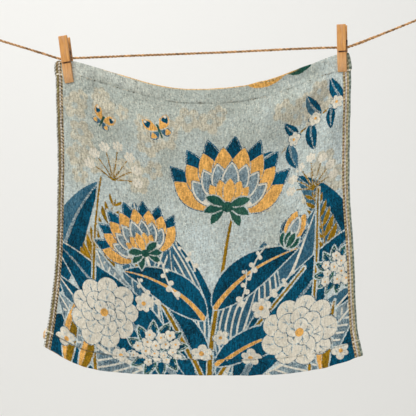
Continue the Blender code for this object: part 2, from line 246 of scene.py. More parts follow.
def frames_along(path):
    """Two directions square to the path at each of its points, that turn as little as they can."""
    tangent = unit(np.gradient(path, axis=0))
    first = np.zeros_like(path)
    first[0] = unit(np.cross(tangent[0], (0.0, 1.0, 0.0)))
    for step in range(1, len(path)):
        first[step] = unit(first[step - 1] - tangent[step] * np.dot(first[step - 1], tangent[step]))
    return first, np.cross(tangent, first)


def tube(path, radii, sides):
    """Vertices and faces of a closed round tube along a path, with a radius for each of its points."""
    path = np.asarray(path, dtype=float)
    first, second = frames_along(path)
    turns = 2.0 * math.pi * np.arange(sides) / sides
    ring = first[:, None, :] * np.cos(turns)[None, :, None] + second[:, None, :] * np.sin(turns)[None, :, None]
    vertices = path[:, None, :] + ring * np.broadcast_to(radii, len(path))[:, None, None]
    faces = [(step * sides + side, step * sides + (side + 1) % sides,
              (step + 1) * sides + (side + 1) % sides, (step + 1) * sides + side)
             for step in range(len(path) - 1) for side in range(sides)]
    faces.append(tuple(range(sides))[::-1])
    faces.append(tuple((len(path) - 1) * sides + side for side in range(sides)))
    return vertices.reshape(-1, 3), faces


def join_parts(parts):
    """Several (vertices, faces) as one."""
    vertices, faces, count = [], [], 0
    for part_vertices, part_faces in parts:
        vertices.append(part_vertices)
        faces += [tuple(corner + count for corner in corners) for corners in part_faces]
        count += len(part_vertices)
    return np.vstack(vertices), faces


def laid_twine(route, seed, step=0.0006):
    """Three uneven strands turned round each other along a route."""
    random = np.random.default_rng(seed)
    length = path_length(smooth(route, 300))
    path = along(route, np.linspace(0.0, 1.0, max(12, int(length / step)) + 1))
    first, second = frames_along(path)
    run = np.linspace(0.0, length, len(path))
    swell = 1.0 + SWELL * np.exp(-((path[:, 0] - SWELL_AT) / SWELL_HALF) ** 2)
    parts = []
    for strand in range(STRANDS):
        uneven = UNEVEN * np.convolve(random.normal(0.0, 1.0, len(path) + 12), np.ones(13) / 13.0, mode="valid")
        turn = 2.0 * math.pi * (run / LAY_LENGTH + strand / STRANDS) + uneven
        aside = first * np.cos(turn)[:, None] + second * np.sin(turn)[:, None]
        parts.append(tube(path + TWINE * STRAND_OUT * swell[:, None] * aside,
                          TWINE * STRAND_RADIUS * swell * (1.0 + uneven), 7))
    return parts


def loose_hairs(route, count, seed):
    """Fine fibres that stand off the twine, each a short bent hair."""
    random = np.random.default_rng(seed)
    path = along(route, np.linspace(0.0, 1.0, 900))
    first, second = frames_along(path)
    tangent = unit(np.gradient(path, axis=0))
    shares = np.linspace(0.0, 1.0, 4)[:, None]
    parts = []
    for _ in range(count):
        at = random.integers(3, len(path) - 3)
        turn = random.uniform(0.0, 2.0 * math.pi)
        outward = first[at] * math.cos(turn) + second[at] * math.sin(turn)
        length = random.uniform(*HAIR_LENGTHS)
        lean = random.uniform(-1.0, 1.0)
        bent = tangent[at] * lean * shares + outward * 0.42 * shares * (1.2 - 0.7 * shares)
        foot = path[at] + outward * TWINE * 0.36
        parts.append(tube(foot + bent * length, np.linspace(*HAIR_RADII, 4), 3))
    return parts


# Jute: coarse brown bast fibre, dry and matt, darker in patches. Painted shade darkens the grooves between the
# strands, so the crowns look paler. Its fibres are 0.1 mm thick, drawn three times as coarse so that they show.
FIBRE_MM = 0.3
jute, tree = new_material("jute_twine")
place = add(tree, "TexCoord", out="Object")
fibres = add(tree, "TexNoise", place, 1000.0 / FIBRE_MM / 3.0, 4.0, 0.7)
patches = add(tree, "MapRange", add(tree, "TexNoise", place, 260.0, 3.0), 0.36, 0.64, 0.50, 1.40)
crown = add(tree, "Attribute", out="Fac", attribute_name="crown")
tint = add(tree, "MapRange", fibres, 0.32, 0.68)
tint = add(tree, "Mix", tint, "#8A5D38", "#E0B37E", data_type="RGBA")
# painted shade: towards the twine's middle, in the grooves, the colour goes dark brown
tint = add(tree, "Mix", crown, "#402611", tint, data_type="RGBA")
tint = add(tree, "VectorMath", tint, patches, operation="SCALE")
add(tree, "OutputMaterial", add(tree, "BsdfPrincipled", {
    "Base Color": tint, "Roughness": 0.88, "Specular IOR Level": 0.25,
    "Normal": add(tree, "Bump", {"Strength": 0.6, "Distance": 0.0002, "Height": fibres})}))


def set_values(mesh, name, values):
    """Keeps one number for each vertex under a name that the piece's material reads."""
    kept = mesh.attributes.new(name, "FLOAT", "POINT")
    kept.data.foreach_set("value", np.ascontiguousarray(values, dtype=np.float32).ravel())


def twine_piece(name, routes, hairs, seed):
    """Twine with painted shade in its grooves: its own routes, and `hairs` loose fibres along the first."""
    parts = []
    for number, route in enumerate(routes):
        parts += laid_twine(route, seed + number)
    vertices, faces = join_parts(parts + loose_hairs(routes[0], hairs, seed + 10))
    made = new_piece(name, vertices, faces, jute)
    middles = np.vstack([along(route, np.linspace(0.0, 1.0, 400)) for route in routes])
    nearest = [np.sqrt(((block[:, None, :] - middles[None, :, :]) ** 2).sum(axis=2)).min(axis=1)
               for block in np.array_split(vertices, 1 + len(vertices) // 4000)]
    # how far each vertex lies out from the twine's middle, for the painted shade in the grooves
    set_values(made.data, "crown", np.clip((np.concatenate(nearest) / TWINE - 0.22) / 0.20, 0.0, 1.0))
    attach(made, "root")
    return made


line_start = place_on(LOOP_LEFT, KNOT_END + GAP, 0.0)
line_end = place_on(LOOP_RIGHT, KNOT_END + GAP, 0.0)
line_route = [tuple(line_start), *LINE_ROUTE, tuple(line_end)]
line_path = along(line_route, np.linspace(0.0, 1.0, 160))
line = twine_piece("twine_line", [line_route], 1300, 3)
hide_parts("line")

# the end of the tail, outside the knot: along the loop, across it, and towards the wall
TAIL = ((0.0, 0.0, 0.0), (0.0002, 0.0014, 0.0011), (-0.0006, 0.0030, 0.0019), (-0.0022, 0.0046, 0.0022))
for seed, loop in enumerate((LOOP_LEFT, LOOP_RIGHT)):
    half = [(KNOT_START + TWINE, TWINE * 0.6), (KNOT_START - TWINE * 0.4, TWINE * 0.8)]
    for turn in np.radians((52.0, 90.0, 126.0, 160.0)):
        half.append((LOOP_RADIUS * math.cos(turn), LOOP_RADIUS * math.sin(turn)))
    other = [(run, -aside) for run, aside in reversed(half)]
    ring_route = [tuple(place_on(loop, run, aside)) for run, aside in half + other]
    wrap_route = []
    for step in range(WRAP_STEPS * KNOT_WRAPS + 1):
        turn = 2.0 * math.pi * step / WRAP_STEPS
        run = KNOT_START + 0.5 * TWINE + WRAP_PITCH * step / WRAP_STEPS
        wrap_route.append(tuple(place_on(loop, run, WRAP_RADIUS * math.cos(turn))
                                + Vector((0.0, WRAP_RADIUS * math.sin(turn), 0.0))))
    tail_route = [tuple(Vector(wrap_route[-1]) + place_on(loop, run, aside) - loop.centre
                        + Vector((0.0, deep, 0.0))) for run, aside, deep in TAIL]
    twine_piece("twine_" + loop.name, [ring_route, wrap_route, tail_route], 120, 20 + 20 * seed)
    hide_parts(loop.name)


# The towel: one cut length of cotton jacquard gauze, two thin layers woven as one, 340 by 325 mm. A selvedge
# is woven down each side, and a hem is folded to the back and stitched along the top and the bottom. Two
# pegs hold its top corners, so it sags between them and hangs in soft folds.
TOWEL_WIDE = 0.340
TOWEL_LONG = 0.325
MM = 0.001
WIDE_MM, LONG_MM = TOWEL_WIDE / MM, TOWEL_LONG / MM
CLOTH_THICK = 0.0011
HEM_THICK = 0.0023

# The outline of the hanging cloth from the front, as in the solids: places on the edge as x, z.
TOP_EDGE = (
    (0.0764, -0.0284), (0.0790, -0.0270), (0.0830, -0.0272), (0.0965, -0.0281), (0.1198, -0.0342),
    (0.1622, -0.0470), (0.1834, -0.0531), (0.2046, -0.0571), (0.2310, -0.0579), (0.2576, -0.0567),
    (0.2735, -0.0545), (0.2894, -0.0508), (0.3106, -0.0449), (0.3318, -0.0370), (0.3570, -0.0270),
    (0.3720, -0.0212), (0.3866, -0.0190),
)
BOTTOM_EDGE = (
    (0.0641, -0.3299), (0.0725, -0.3348), (0.0880, -0.3428), (0.1050, -0.3502), (0.1198, -0.3538),
    (0.1452, -0.3582), (0.1728, -0.3603), (0.2046, -0.3602), (0.2470, -0.3600), (0.2788, -0.3606),
    (0.3106, -0.3607), (0.3424, -0.3561), (0.3688, -0.3498), (0.3837, -0.3457), (0.3959, -0.3418),
    (0.4026, -0.3398),
)
LEFT_EDGE = (
    (0.0764, -0.0284), (0.0756, -0.0320), (0.0756, -0.0365), (0.0766, -0.0437), (0.0774, -0.0755),
    (0.0786, -0.1200), (0.0784, -0.1645), (0.0775, -0.2140), (0.0763, -0.2387), (0.0735, -0.2705),
    (0.0691, -0.3020), (0.0641, -0.3299),
)
RIGHT_EDGE = (
    (0.3866, -0.0190), (0.3880, -0.0238), (0.3891, -0.0295), (0.3897, -0.0345), (0.3894, -0.0390),
    (0.3898, -0.0520), (0.3895, -0.0755), (0.3890, -0.1115), (0.3889, -0.1592), (0.3904, -0.1910),
    (0.3925, -0.2175), (0.3937, -0.2450), (0.3951, -0.2860), (0.3970, -0.3110), (0.4026, -0.3398),
)

# The folds, as in the solids: each runs down from x, z at an angle from straight down, in degrees. Then its
# half width, how fast it widens, how far it comes out, and the lengths in which it starts and dies away.
FOLDS = (
    (0.092, -0.050, 53.0, 0.008, 0.10, 0.0080, 0.040, 0.160),
    (0.096, -0.044, 68.0, 0.007, 0.07, -0.0055, 0.035, 0.130),
    (0.090, -0.056, 33.0, 0.008, 0.10, -0.0055, 0.040, 0.200),
    (0.090, -0.058, 14.0, 0.009, 0.09, 0.0055, 0.050, 0.260),
    (0.088, -0.060, -4.0, 0.006, 0.05, -0.0030, 0.050, 0.230),
    (0.378, -0.040, -56.0, 0.008, 0.10, 0.0070, 0.040, 0.150),
    (0.374, -0.034, -72.0, 0.007, 0.07, -0.0050, 0.035, 0.120),
    (0.379, -0.046, -36.0, 0.008, 0.10, -0.0055, 0.040, 0.190),
    (0.380, -0.048, -15.0, 0.009, 0.09, 0.0055, 0.050, 0.270),
    (0.381, -0.050, 3.0, 0.006, 0.05, -0.0030, 0.050, 0.210),
    (0.233, -0.010, 0.0, 0.060, 0.10, 0.0080, 0.045, 0.190),
    (0.128, -0.120, -5.0, 0.017, 0.05, 0.0070, 0.200, 0.900),
    (0.178, -0.150, -3.0, 0.018, 0.05, -0.0080, 0.180, 0.900),
    (0.238, -0.100, 2.0, 0.020, 0.04, 0.0070, 0.230, 0.900),
    (0.296, -0.160, 3.0, 0.017, 0.05, -0.0075, 0.170, 0.900),
    (0.350, -0.130, 5.0, 0.016, 0.05, 0.0065, 0.200, 0.900),
)
Peg = namedtuple("Peg", "name notch lean yaw back_handle")
PEGS = (
    Peg("peg_left", Vector((0.0890, 0.0, -0.0250)), -8.0, -12.5, 0.0230),
    Peg("peg_right", Vector((0.3809, 0.0, -0.0132)), -1.2, -16.0, 0.0242),
)
PEG_JAW = 0.0260                 # from the line down to a peg's tip
JAW_HALF = 0.0012                # from a peg's middle plane to the cloth's face
GRIP_RADIUS = 0.009
FREE_RADIUS = 0.030

# The fine sheet: panels of 1.2 mm in front, the size of a woven step of the pattern, twice that behind.
FACE_ACROSS = 280
FACE_DOWN = 266
ROLL = ((0.34, 0.06), (0.50, 0.50), (0.34, 0.94))   # out and back round a raw edge, as shares of the thickness

# The puffs of the gauze: size in mm, height in m.
PUFFS = ((4.0, 0.00014), (6.5, 0.00028), (11.0, 0.00056), (24.0, 0.00110), (50.0, 0.00150))

# The main creases, placed in the front view: from x, z to x, z, half width, and how far out.
CREASES = (
    (0.0960, -0.0560, 0.1220, -0.0860, 0.0030, -0.0014), (0.1010, -0.0500, 0.1400, -0.0700, 0.0034, 0.0013),
    (0.0900, -0.0600, 0.0980, -0.1000, 0.0030, 0.0013), (0.0850, -0.0560, 0.0840, -0.0980, 0.0026, -0.0011),
    (0.1130, -0.0490, 0.1500, -0.0560, 0.0028, -0.0011), (0.3760, -0.0440, 0.3540, -0.0760, 0.0030, -0.0014),
    (0.3720, -0.0400, 0.3380, -0.0590, 0.0032, 0.0013), (0.3830, -0.0480, 0.3790, -0.0900, 0.0028, 0.0011),
    (0.3660, -0.0380, 0.3300, -0.0470, 0.0026, -0.0011), (0.2760, -0.0690, 0.3080, -0.0640, 0.0022, -0.0008),
    (0.0860, -0.2780, 0.0960, -0.2800, 0.0018, -0.0013), (0.0800, -0.3060, 0.0930, -0.3200, 0.0045, -0.0019),
    (0.0900, -0.2960, 0.0990, -0.3120, 0.0050, 0.0014), (0.0970, -0.3180, 0.1090, -0.3290, 0.0036, -0.0013),
    (0.0740, -0.3200, 0.0900, -0.3300, 0.0022, -0.0014), (0.1240, -0.2300, 0.1330, -0.3000, 0.0060, 0.0013),
    (0.1600, -0.1900, 0.1540, -0.2500, 0.0050, -0.0011), (0.2080, -0.2600, 0.2030, -0.3380, 0.0055, 0.0014),
    (0.2520, -0.2700, 0.2560, -0.3400, 0.0045, -0.0013), (0.3060, -0.2500, 0.3140, -0.3320, 0.0055, 0.0014),
    (0.3560, -0.2900, 0.3700, -0.3280, 0.0040, -0.0014), (0.3780, -0.1400, 0.3740, -0.2100, 0.0040, 0.0010),
    (0.1720, -0.0700, 0.1900, -0.1080, 0.0050, 0.0010), (0.2500, -0.0800, 0.2440, -0.1500, 0.0060, -0.0010),
    (0.3000, -0.0800, 0.3080, -0.1350, 0.0050, 0.0010),
)
SELVEDGE_RIDGES = ((2.0, 1.5, 0.00042), (6.8, 1.0, 0.00034))    # mm from the side, half width, height
SEAM_SINKS = 0.00055
HEM_STANDS = 0.00055
PUCKER = 0.00024
PUCKER_PITCH = 4.2               # mm from one gather of the hem to the next
END_WANDER, SIDE_WANDER = 0.00038, 0.00022
# How deep the hems are, in mm: the top one is uneven. A pair is mm from the left side, mm from the end.
TOP_SEAM = ((0.0, 14.8), (60.0, 14.8), (235.0, 17.2), (303.0, 15.8), (326.0, 18.2), (340.0, 18.4))
BOTTOM_SEAM = ((0.0, 18.2), (120.0, 17.8), (340.0, 17.2))


def ease(share):
    """A smooth step from 0 to 1."""
    share = np.clip(share, 0.0, 1.0)
    return share * share * (3.0 - 2.0 * share)


def front_view(across, down):
    """Where the cloth's shares across and down lie in the front view, as grids of x and z."""
    top, bottom = along(TOP_EDGE, across)[None, :, :], along(BOTTOM_EDGE, across)[None, :, :]
    left, right = along(LEFT_EDGE, down)[:, None, :], along(RIGHT_EDGE, down)[:, None, :]
    a, d = np.asarray(across)[None, :, None], np.asarray(down)[:, None, None]
    upper = (1.0 - a) * np.array(TOP_EDGE[0]) + a * np.array(TOP_EDGE[-1])
    lower = (1.0 - a) * np.array(BOTTOM_EDGE[0]) + a * np.array(BOTTOM_EDGE[-1])
    grid = (1.0 - d) * top + d * bottom + (1.0 - a) * left + a * right - (1.0 - d) * upper - d * lower
    return grid[..., 0], grid[..., 1]


def fold_depth(x, z):
    """How far the folds push the cloth, as y: out towards the viewer is negative."""
    y = np.zeros_like(x)
    for fold_x, fold_z, angle, wide, spread, out, lead, reach in FOLDS:
        turn = math.radians(angle)
        run = (x - fold_x) * math.sin(turn) - (z - fold_z) * math.cos(turn)
        aside = (x - fold_x) * math.cos(turn) + (z - fold_z) * math.sin(turn)
        fade = ease(run / lead) * (1.0 - ease(2.0 * run / reach - 1.0))
        y -= out * np.exp(-(aside / (wide + spread * np.maximum(run, 0.0))) ** 2) * fade
    return y


def crease_depth(x, z):
    """The same for the creases: each is soft, bends a little and dies away at both ends."""
    y = np.zeros_like(x)
    for x1, z1, x2, z2, half, out in CREASES:
        length = math.hypot(x2 - x1, z2 - z1)
        run = ((x - x1) * (x2 - x1) + (z - z1) * (z2 - z1)) / length ** 2
        aside = ((z - z1) * (x2 - x1) - (x - x1) * (z2 - z1)) / length
        aside = aside + 0.06 * length * np.sin(4.0 * run + 90.0 * x1)
        fade = ease(run / 0.35 + 0.4) * ease((1.0 - run) / 0.35 + 0.4)
        y -= out * np.exp(-(aside / half) ** 2) * fade
    return y


def held_by(peg, x, z):
    """How firmly a peg holds the cloth flat at each place, from 0 to 1."""
    below = np.clip(-(z - peg.notch.z), 0.0, PEG_JAW)
    middle = peg.notch.x - below * math.sin(math.radians(peg.lean))
    away = np.hypot(x - middle, z - (peg.notch.z - below))
    return 1.0 - ease((away - GRIP_RADIUS) / (FREE_RADIUS - GRIP_RADIUS))


def cloth_depth(x, z):
    """The y of the cloth's front face: folded where it is free, flat in the jaws of each peg."""
    y = fold_depth(x, z)
    for peg in PEGS:
        held = held_by(peg, x, z)
        yaw = math.radians(peg.yaw)
        jaw = peg.notch.y + (x - peg.notch.x) * math.tan(yaw) - JAW_HALF / math.cos(yaw)
        y = y * (1.0 - held) + jaw * held
    return y


def mottle(x, y, size, seed):
    """Soft random hills from -1 to 1, about `size` from one to the next."""
    random = np.random.default_rng(seed)
    hills = random.uniform(-1.0, 1.0, (96, 96))
    column, row = np.floor(x / size), np.floor(y / size)
    right, up = ease(x / size - column), ease(y / size - row)
    column, row = column.astype(int) % 95, row.astype(int) % 95
    lower = hills[row, column] * (1.0 - right) + hills[row, column + 1] * right
    upper = hills[row + 1, column] * (1.0 - right) + hills[row + 1, column + 1] * right
    return lower * (1.0 - up) + upper * up


# the face, as a grid from the top left corner
across = np.linspace(0.0012, 0.9988, FACE_ACROSS + 1)
down = np.linspace(0.0030, 0.9970, FACE_DOWN + 1)
x, z = front_view(across, down)
flat_x = np.broadcast_to(across * WIDE_MM, x.shape)
flat_y = np.broadcast_to((down * LONG_MM)[:, None], x.shape)
from_side = np.minimum(flat_x, WIDE_MM - flat_x)
from_end = np.minimum(flat_y, LONG_MM - flat_y)
from_seam = from_end - np.where(flat_y < LONG_MM / 2.0, np.interp(flat_x, *zip(*TOP_SEAM)),
                                np.interp(flat_x, *zip(*BOTTOM_SEAM)))
in_hem = 1.0 - ease((from_seam + 0.7) / 1.4)
free = 1.0 - np.clip(sum(held_by(peg, x, z) for peg in PEGS), 0.0, 1.0)
rough = sum(height * mottle(flat_x, flat_y * 0.8, size, 11 + step) for step, (size, height) in enumerate(PUFFS))
pucker = np.cos(2.0 * math.pi * (flat_x + 2.6 * mottle(flat_x, flat_y, 13.0, 31)) / PUCKER_PITCH)
pucker *= 0.5 + 0.5 * mottle(flat_x, flat_y, 21.0, 32)
pucker *= np.exp(-(from_seam / 4.0) ** 2) + 0.4 * in_hem
seam = np.exp(-(from_seam / 0.95) ** 2)
ridge = sum(height * np.exp(-((from_side - middle) / half) ** 2) for middle, half, height in SELVEDGE_RIDGES)
step_up = HEM_STANDS * ease((from_side - 9.5) / 3.0) * in_hem
y = cloth_depth(x, z) + (crease_depth(x, z) + rough - ridge + SEAM_SINKS * seam - step_up + PUCKER * pucker) * free
z = z + END_WANDER * mottle(flat_x, flat_y * 0.0, 13.0, 41) * np.exp(-from_end / 7.0) * free
x = x + SIDE_WANDER * mottle(flat_x * 0.0, flat_y, 9.0, 42) * np.exp(-from_side / 6.0) * free
face = np.stack([x, y, z], axis=2)
right_way, down_way = unit(np.gradient(face, axis=1)), unit(np.gradient(face, axis=0))
back_way = unit(np.cross(down_way, right_way))
back_way *= np.sign(back_way[..., 1:2])
thick = CLOTH_THICK + (HEM_THICK - CLOTH_THICK) * in_hem

# the border of that grid, once round: top, right side, bottom, left side
last_row, last_column = FACE_DOWN, FACE_ACROSS
border_row = np.concatenate([np.zeros(last_column, int), np.arange(last_row),
                             np.full(last_column, last_row), np.arange(last_row, 0, -1)])
border_column = np.concatenate([np.arange(last_column), np.full(last_row, last_column),
                                np.arange(last_column, 0, -1), np.zeros(last_row, int)])
border = (border_row, border_column)
to_right = (border_column == last_column) * 1.0 - (border_column == 0)
to_bottom = (border_row == last_row) * 1.0 - (border_row == 0)
outward = unit(right_way[border] * to_right[:, None] + down_way[border] * to_bottom[:, None])
rings = [face[border] + (outward * out + back_way[border] * back) * thick[border][:, None] for out, back in ROLL]

# the back, as a grid of every second place of the face, one thickness behind it
back = (face + back_way * thick[..., None])[::2, ::2]


def grid_numbers(shape, start):
    return np.arange(shape[0] * shape[1]).reshape(shape[:2]) + start


def band(inner, outer):
    """Quads between two rings of as many vertices, one outside the other."""
    return np.stack([outer, inner, np.roll(inner, -1), np.roll(outer, -1)], axis=1)


def sheet_quads(numbers):
    """Quads of a grid of vertices, facing -Y."""
    corners = numbers[:-1, :-1], numbers[1:, :-1], numbers[1:, 1:], numbers[:-1, 1:]
    return np.stack([corner.ravel() for corner in corners], axis=1)


face_numbers = grid_numbers(face.shape, 0)
ring_numbers = [face_numbers[border]]
for step in range(len(ROLL)):
    ring_numbers.append(np.arange(len(border_row)) + face_numbers.size + step * len(border_row))
back_numbers = grid_numbers(back.shape, ring_numbers[-1][-1] + 1)
coarse = back_numbers[border_row[::2] // 2, border_column[::2] // 2]
fine = ring_numbers[-1]
joins = np.concatenate([
    np.stack([coarse, fine[::2], fine[1::2]], axis=1),
    np.stack([coarse, fine[1::2], np.roll(coarse, -1)], axis=1),
    np.stack([np.roll(coarse, -1), fine[1::2], np.roll(fine, -2)[::2]], axis=1)])
front_quads = np.concatenate([sheet_quads(face_numbers)]
                             + [band(inner, outer) for inner, outer in zip(ring_numbers, ring_numbers[1:])])
back_quads = sheet_quads(back_numbers)[:, ::-1]
towel_vertices = np.vstack([face.reshape(-1, 3), *rings, back.reshape(-1, 3)])
towel_faces = front_quads.tolist() + joins.tolist() + back_quads.tolist()


def over_sheet(values, rim=None, behind=None):
    """A value for every vertex of the towel, from those of the face's grid."""
    on_rim = values[border] if rim is None else rim
    on_back = values[::2, ::2] if behind is None else np.full(back.shape[:2], behind)
    return np.concatenate([values.ravel(), np.tile(on_rim, len(ROLL)), on_back.ravel()])


# The woven pattern: areas of coloured weft over a pale ground, a garden of plain leaves and flowers. Places
# are in mm from the towel's top left corner, right and down. Headings are in degrees from straight up,
# clockwise. The seam takes up a little of the pattern, so it jumps there.
YARNS = ("slate", "denim", "teal", "pine", "ochre", "olive", "cream")
FAR = 60.0                       # mm, where an area is nowhere near
SEAM_TAKES = 4.0
PARTING = 1.5                    # the pale line left round an area that lies over another
VEIN_HALF = 0.85
ARC_STEPS = 28
GOLDEN_TURN = 2.39996            # radians from one floret to the next, which spreads them evenly
grid_x = flat_x[0]
grid_y = flat_y[:, 0] + SEAM_TAKES * ((flat_y[:, 0] > 307.0) * 1.0 - (flat_y[:, 0] < 16.5))
yarns = {name: np.full(x.shape, FAR) for name in YARNS}


def lay(yarn, field, area):
    """Weaves a shape over what is there. `field` is the way to its edge in mm, with a minus inside."""
    for name in YARNS:
        if name == yarn:
            yarns[name][area] = np.minimum(yarns[name][area], field)
        else:
            yarns[name][area] = np.maximum(yarns[name][area], -field)


def window(points, reach):
    """The part of the grid within `reach` of some points, and the places in it."""
    low, high = np.min(points, axis=0) - reach, np.max(points, axis=0) + reach
    rows = slice(*np.searchsorted(grid_y, (low[1], high[1])))
    columns = slice(*np.searchsorted(grid_x, (low[0], high[0])))
    return ((rows, columns), *np.meshgrid(grid_x[columns], grid_y[rows]))


def around(x, y, reach):
    """The part of the grid round a place, and how far and in which direction each of its places lies."""
    area, px, py = window([(x, y)], reach)
    return area, np.hypot(px - x, py - y), np.arctan2(py - y, px - x)


def arc_points(x, y, heading, length, bend):
    """Points along an arc that leaves a place at a heading and has turned by `bend` at its end."""
    turns = np.radians(heading + bend * (np.arange(ARC_STEPS) + 0.5) / ARC_STEPS)
    hops = np.stack([np.sin(turns), -np.cos(turns)], axis=1) * length / ARC_STEPS
    return np.vstack([[(x, y)], np.array((x, y)) + np.cumsum(hops, axis=0)])


def spine(x, y, heading, length, bend, reach):
    """The part of the grid near an arc, the way to the arc, the side of it, and the share along it."""
    points = arc_points(x, y, heading, length, bend)
    area, px, py = window(points, reach)
    way = np.full(px.shape, 1e9)
    side, share = np.zeros(px.shape), np.zeros(px.shape)
    for step, (place, hop) in enumerate(zip(points, np.diff(points, axis=0))):
        dx, dy = px - place[0], py - place[1]
        part = np.clip((dx * hop[0] + dy * hop[1]) / (hop @ hop), 0.0, 1.0)
        away = np.hypot(dx - part * hop[0], dy - part * hop[1])
        nearer = away < way
        way = np.where(nearer, away, way)
        side = np.where(nearer, np.sign(hop[0] * dy - hop[1] * dx) * away, side)
        share = np.where(nearer, (step + part) / ARC_STEPS, share)
    return area, way, side, share


def blade_width(share, wide, belly):
    """Half the width of a leaf or petal along it: pointed at both ends, widest at `belly`."""
    bulge = math.log(0.5) / math.log(belly)
    return wide * np.sin(math.pi * np.clip(share, 0.0, 1.0) ** bulge) ** 0.85


def disc(x, y, radius, yarn):
    area, away, turn = around(x, y, radius + 3.0)
    lay(yarn, away - radius, area)


def stroke(x, y, heading, length, bend, half, yarn, parting=0.0):
    """A line of one yarn, a stalk or a stem, that thins towards its end."""
    area, way, side, share = spine(x, y, heading, length, bend, half + parting + 2.0)
    if parting:
        lay("ground", way - half - parting, area)
    lay(yarn, way - half * (1.0 - 0.40 * share), area)


def leaf(x, y, heading, length, bend, wide, near_yarn, far_yarn, rib, veins=0.0):
    """A long leaf of two halves with its rib, and pale veins `veins` mm apart that run out to the edge."""
    area, way, side, share = spine(x, y, heading, length, bend, wide + 4.0)
    edge = way - blade_width(share, wide, 0.42)
    lay("ground", edge - PARTING, area)
    lay(near_yarn, edge, area)
    lay(far_yarn, np.maximum(edge, side), area)
    if veins:
        run = (share * length - 0.95 * way) / veins
        vein = np.abs(run - np.round(run)) * veins * 0.72 - VEIN_HALF
        lay("cream", np.maximum(np.maximum(vein, edge + 2.2), 2.6 - way), area)
    lay(rib, np.maximum(way - (0.09 * wide + 0.7) * (1.15 - share), edge + 0.4), area)


def contoured_leaf(x, y, heading, length, bend, wide, yarn, spacing):
    """A broad leaf with pale lines inside that follow its outline."""
    area, way, side, share = spine(x, y, heading, length, bend, wide + 4.0)
    edge = way - blade_width(share, wide, 0.46)
    lay("ground", edge - PARTING, area)
    lay(yarn, edge, area)
    rings_in = (-edge - 0.55 * spacing) / spacing
    line_way = np.abs(rings_in - np.round(rings_in)) * spacing - VEIN_HALF
    lay("cream", np.maximum(np.maximum(line_way, edge + 2.0), 0.5 * spacing - way), area)
    lay("cream", np.maximum(way - 1.3 * (1.1 - share), edge + 0.6), area)


def mound(x, y, wide, tall, yarn):
    """A round hill of one yarn, `wide` and `tall` from its middle."""
    hill = np.hypot((grid_x[None, :] - x) / wide, (grid_y[:, None] - y) / tall)
    lay(yarn, (hill - 1.0) * min(wide, tall), (slice(None), slice(None)))


def petal(x, y, heading, length, bend, wide, yarn, tip=None, outline="ground", margin=PARTING):
    """A pointed petal, with its upper part in the tip's yarn, parted from what is behind it."""
    area, way, side, share = spine(x, y, heading, length, bend, wide + 4.0)
    edge = way - blade_width(share, wide, 0.58)
    lay(outline, edge - margin, area)
    lay(yarn, edge, area)
    if tip:
        lay(tip, np.maximum(edge + 1.7, (0.50 - share) * length + 0.12 * way), area)


# The petals of a flower seen from the side, from the back: their angles on either side of its own heading,
# length, bend for each degree of the angle, half width, yarn, the tip's yarn, and the line round each.
BLOOM = (
    ((74, 50, 27, 0), 1.00, -0.35, 0.165, "denim", "teal", "ground", PARTING),
    ((88, 62, 38, 13), 0.84, -0.40, 0.160, "ochre", None, "teal", 1.2),
    ((76, 50, 25, 0), 0.63, -0.45, 0.125, "cream", "slate", "teal", 1.2),
    ((52, 26, 0), 0.40, -0.30, 0.085, "ochre", None, "teal", 1.0),
    ((122, 92, 60), 0.34, 0.35, 0.060, "pine", None, "ground", PARTING),
)
BUD = (
    ((34,), 0.88, -1.1, 0.19, "denim", "teal", "ground", PARTING),
    ((19,), 1.00, -1.2, 0.17, "ochre", None, "teal", 1.1),
    ((0,), 0.88, 0.0, 0.16, "cream", "slate", "teal", 1.1),
    ((58, 17), 0.46, -0.8, 0.09, "pine", None, "ground", PARTING),
)


def flower(x, y, tilt, size, rows, knob=0.0):
    """A layered flower from the side, with a cup of green leaves and a round knob under it."""
    for angles, length, bend, wide, yarn, tip, outline, margin in rows:
        for angle in angles:
            for turn in (-angle, angle) if angle else (0,):
                petal(x, y, tilt + turn, size * length, turn * bend, size * wide, yarn, tip, outline, margin)
    if knob:
        disc(x, y, size * knob, "pine")


def blossom(x, y, tilt, size):
    """A small open flower of five round petals, each with a dark line, round a yellow eye."""
    area, radius, turn = around(x, y, size + 4.0)
    turn = turn + math.radians(tilt)
    lobes = np.abs(np.cos(2.5 * turn + 0.35 * np.sin(2.0 * turn + x)))
    edge = radius - size * (0.56 + 0.40 * lobes ** 0.6) * (1.0 + 0.10 * np.cos(turn + y))
    lay("teal", edge - 1.1, area)
    lay("cream", edge, area)
    if size > 7.0:
        lay("slate", np.maximum(np.abs(radius - size * 0.46) - 0.14 * size, 0.93 - lobes), area)
    lay("ochre", radius - size * 0.25, area)


def flower_head(x, y, tilt, size):
    """A dome of small open florets, as a hydrangea has, over its dark leaves."""
    area, px, py = window([(x, y)], size + 8.0)
    count = int(0.80 * (size / 5.6) ** 2)
    steps = np.arange(count)
    away = size * np.sqrt((steps + 0.5) / count)
    turns = GOLDEN_TURN * steps + tilt
    places = np.stack([x + away * np.sin(turns), y - 0.78 * away * np.cos(turns)], axis=1)
    for heading in range(-150, 181, 30):
        petal(x, y, tilt + heading, size * 1.28, 20.0, size * 0.20, "pine", "teal")
    cushion = np.min([np.hypot(px - fx, py - fy) for fx, fy in places], axis=0) - 5.0
    lay("teal", cushion, area)
    for number, (fx, fy) in enumerate(places):
        blossom(fx, fy, 37.0 * number, 5.6 + 0.9 * math.sin(2.3 * number))


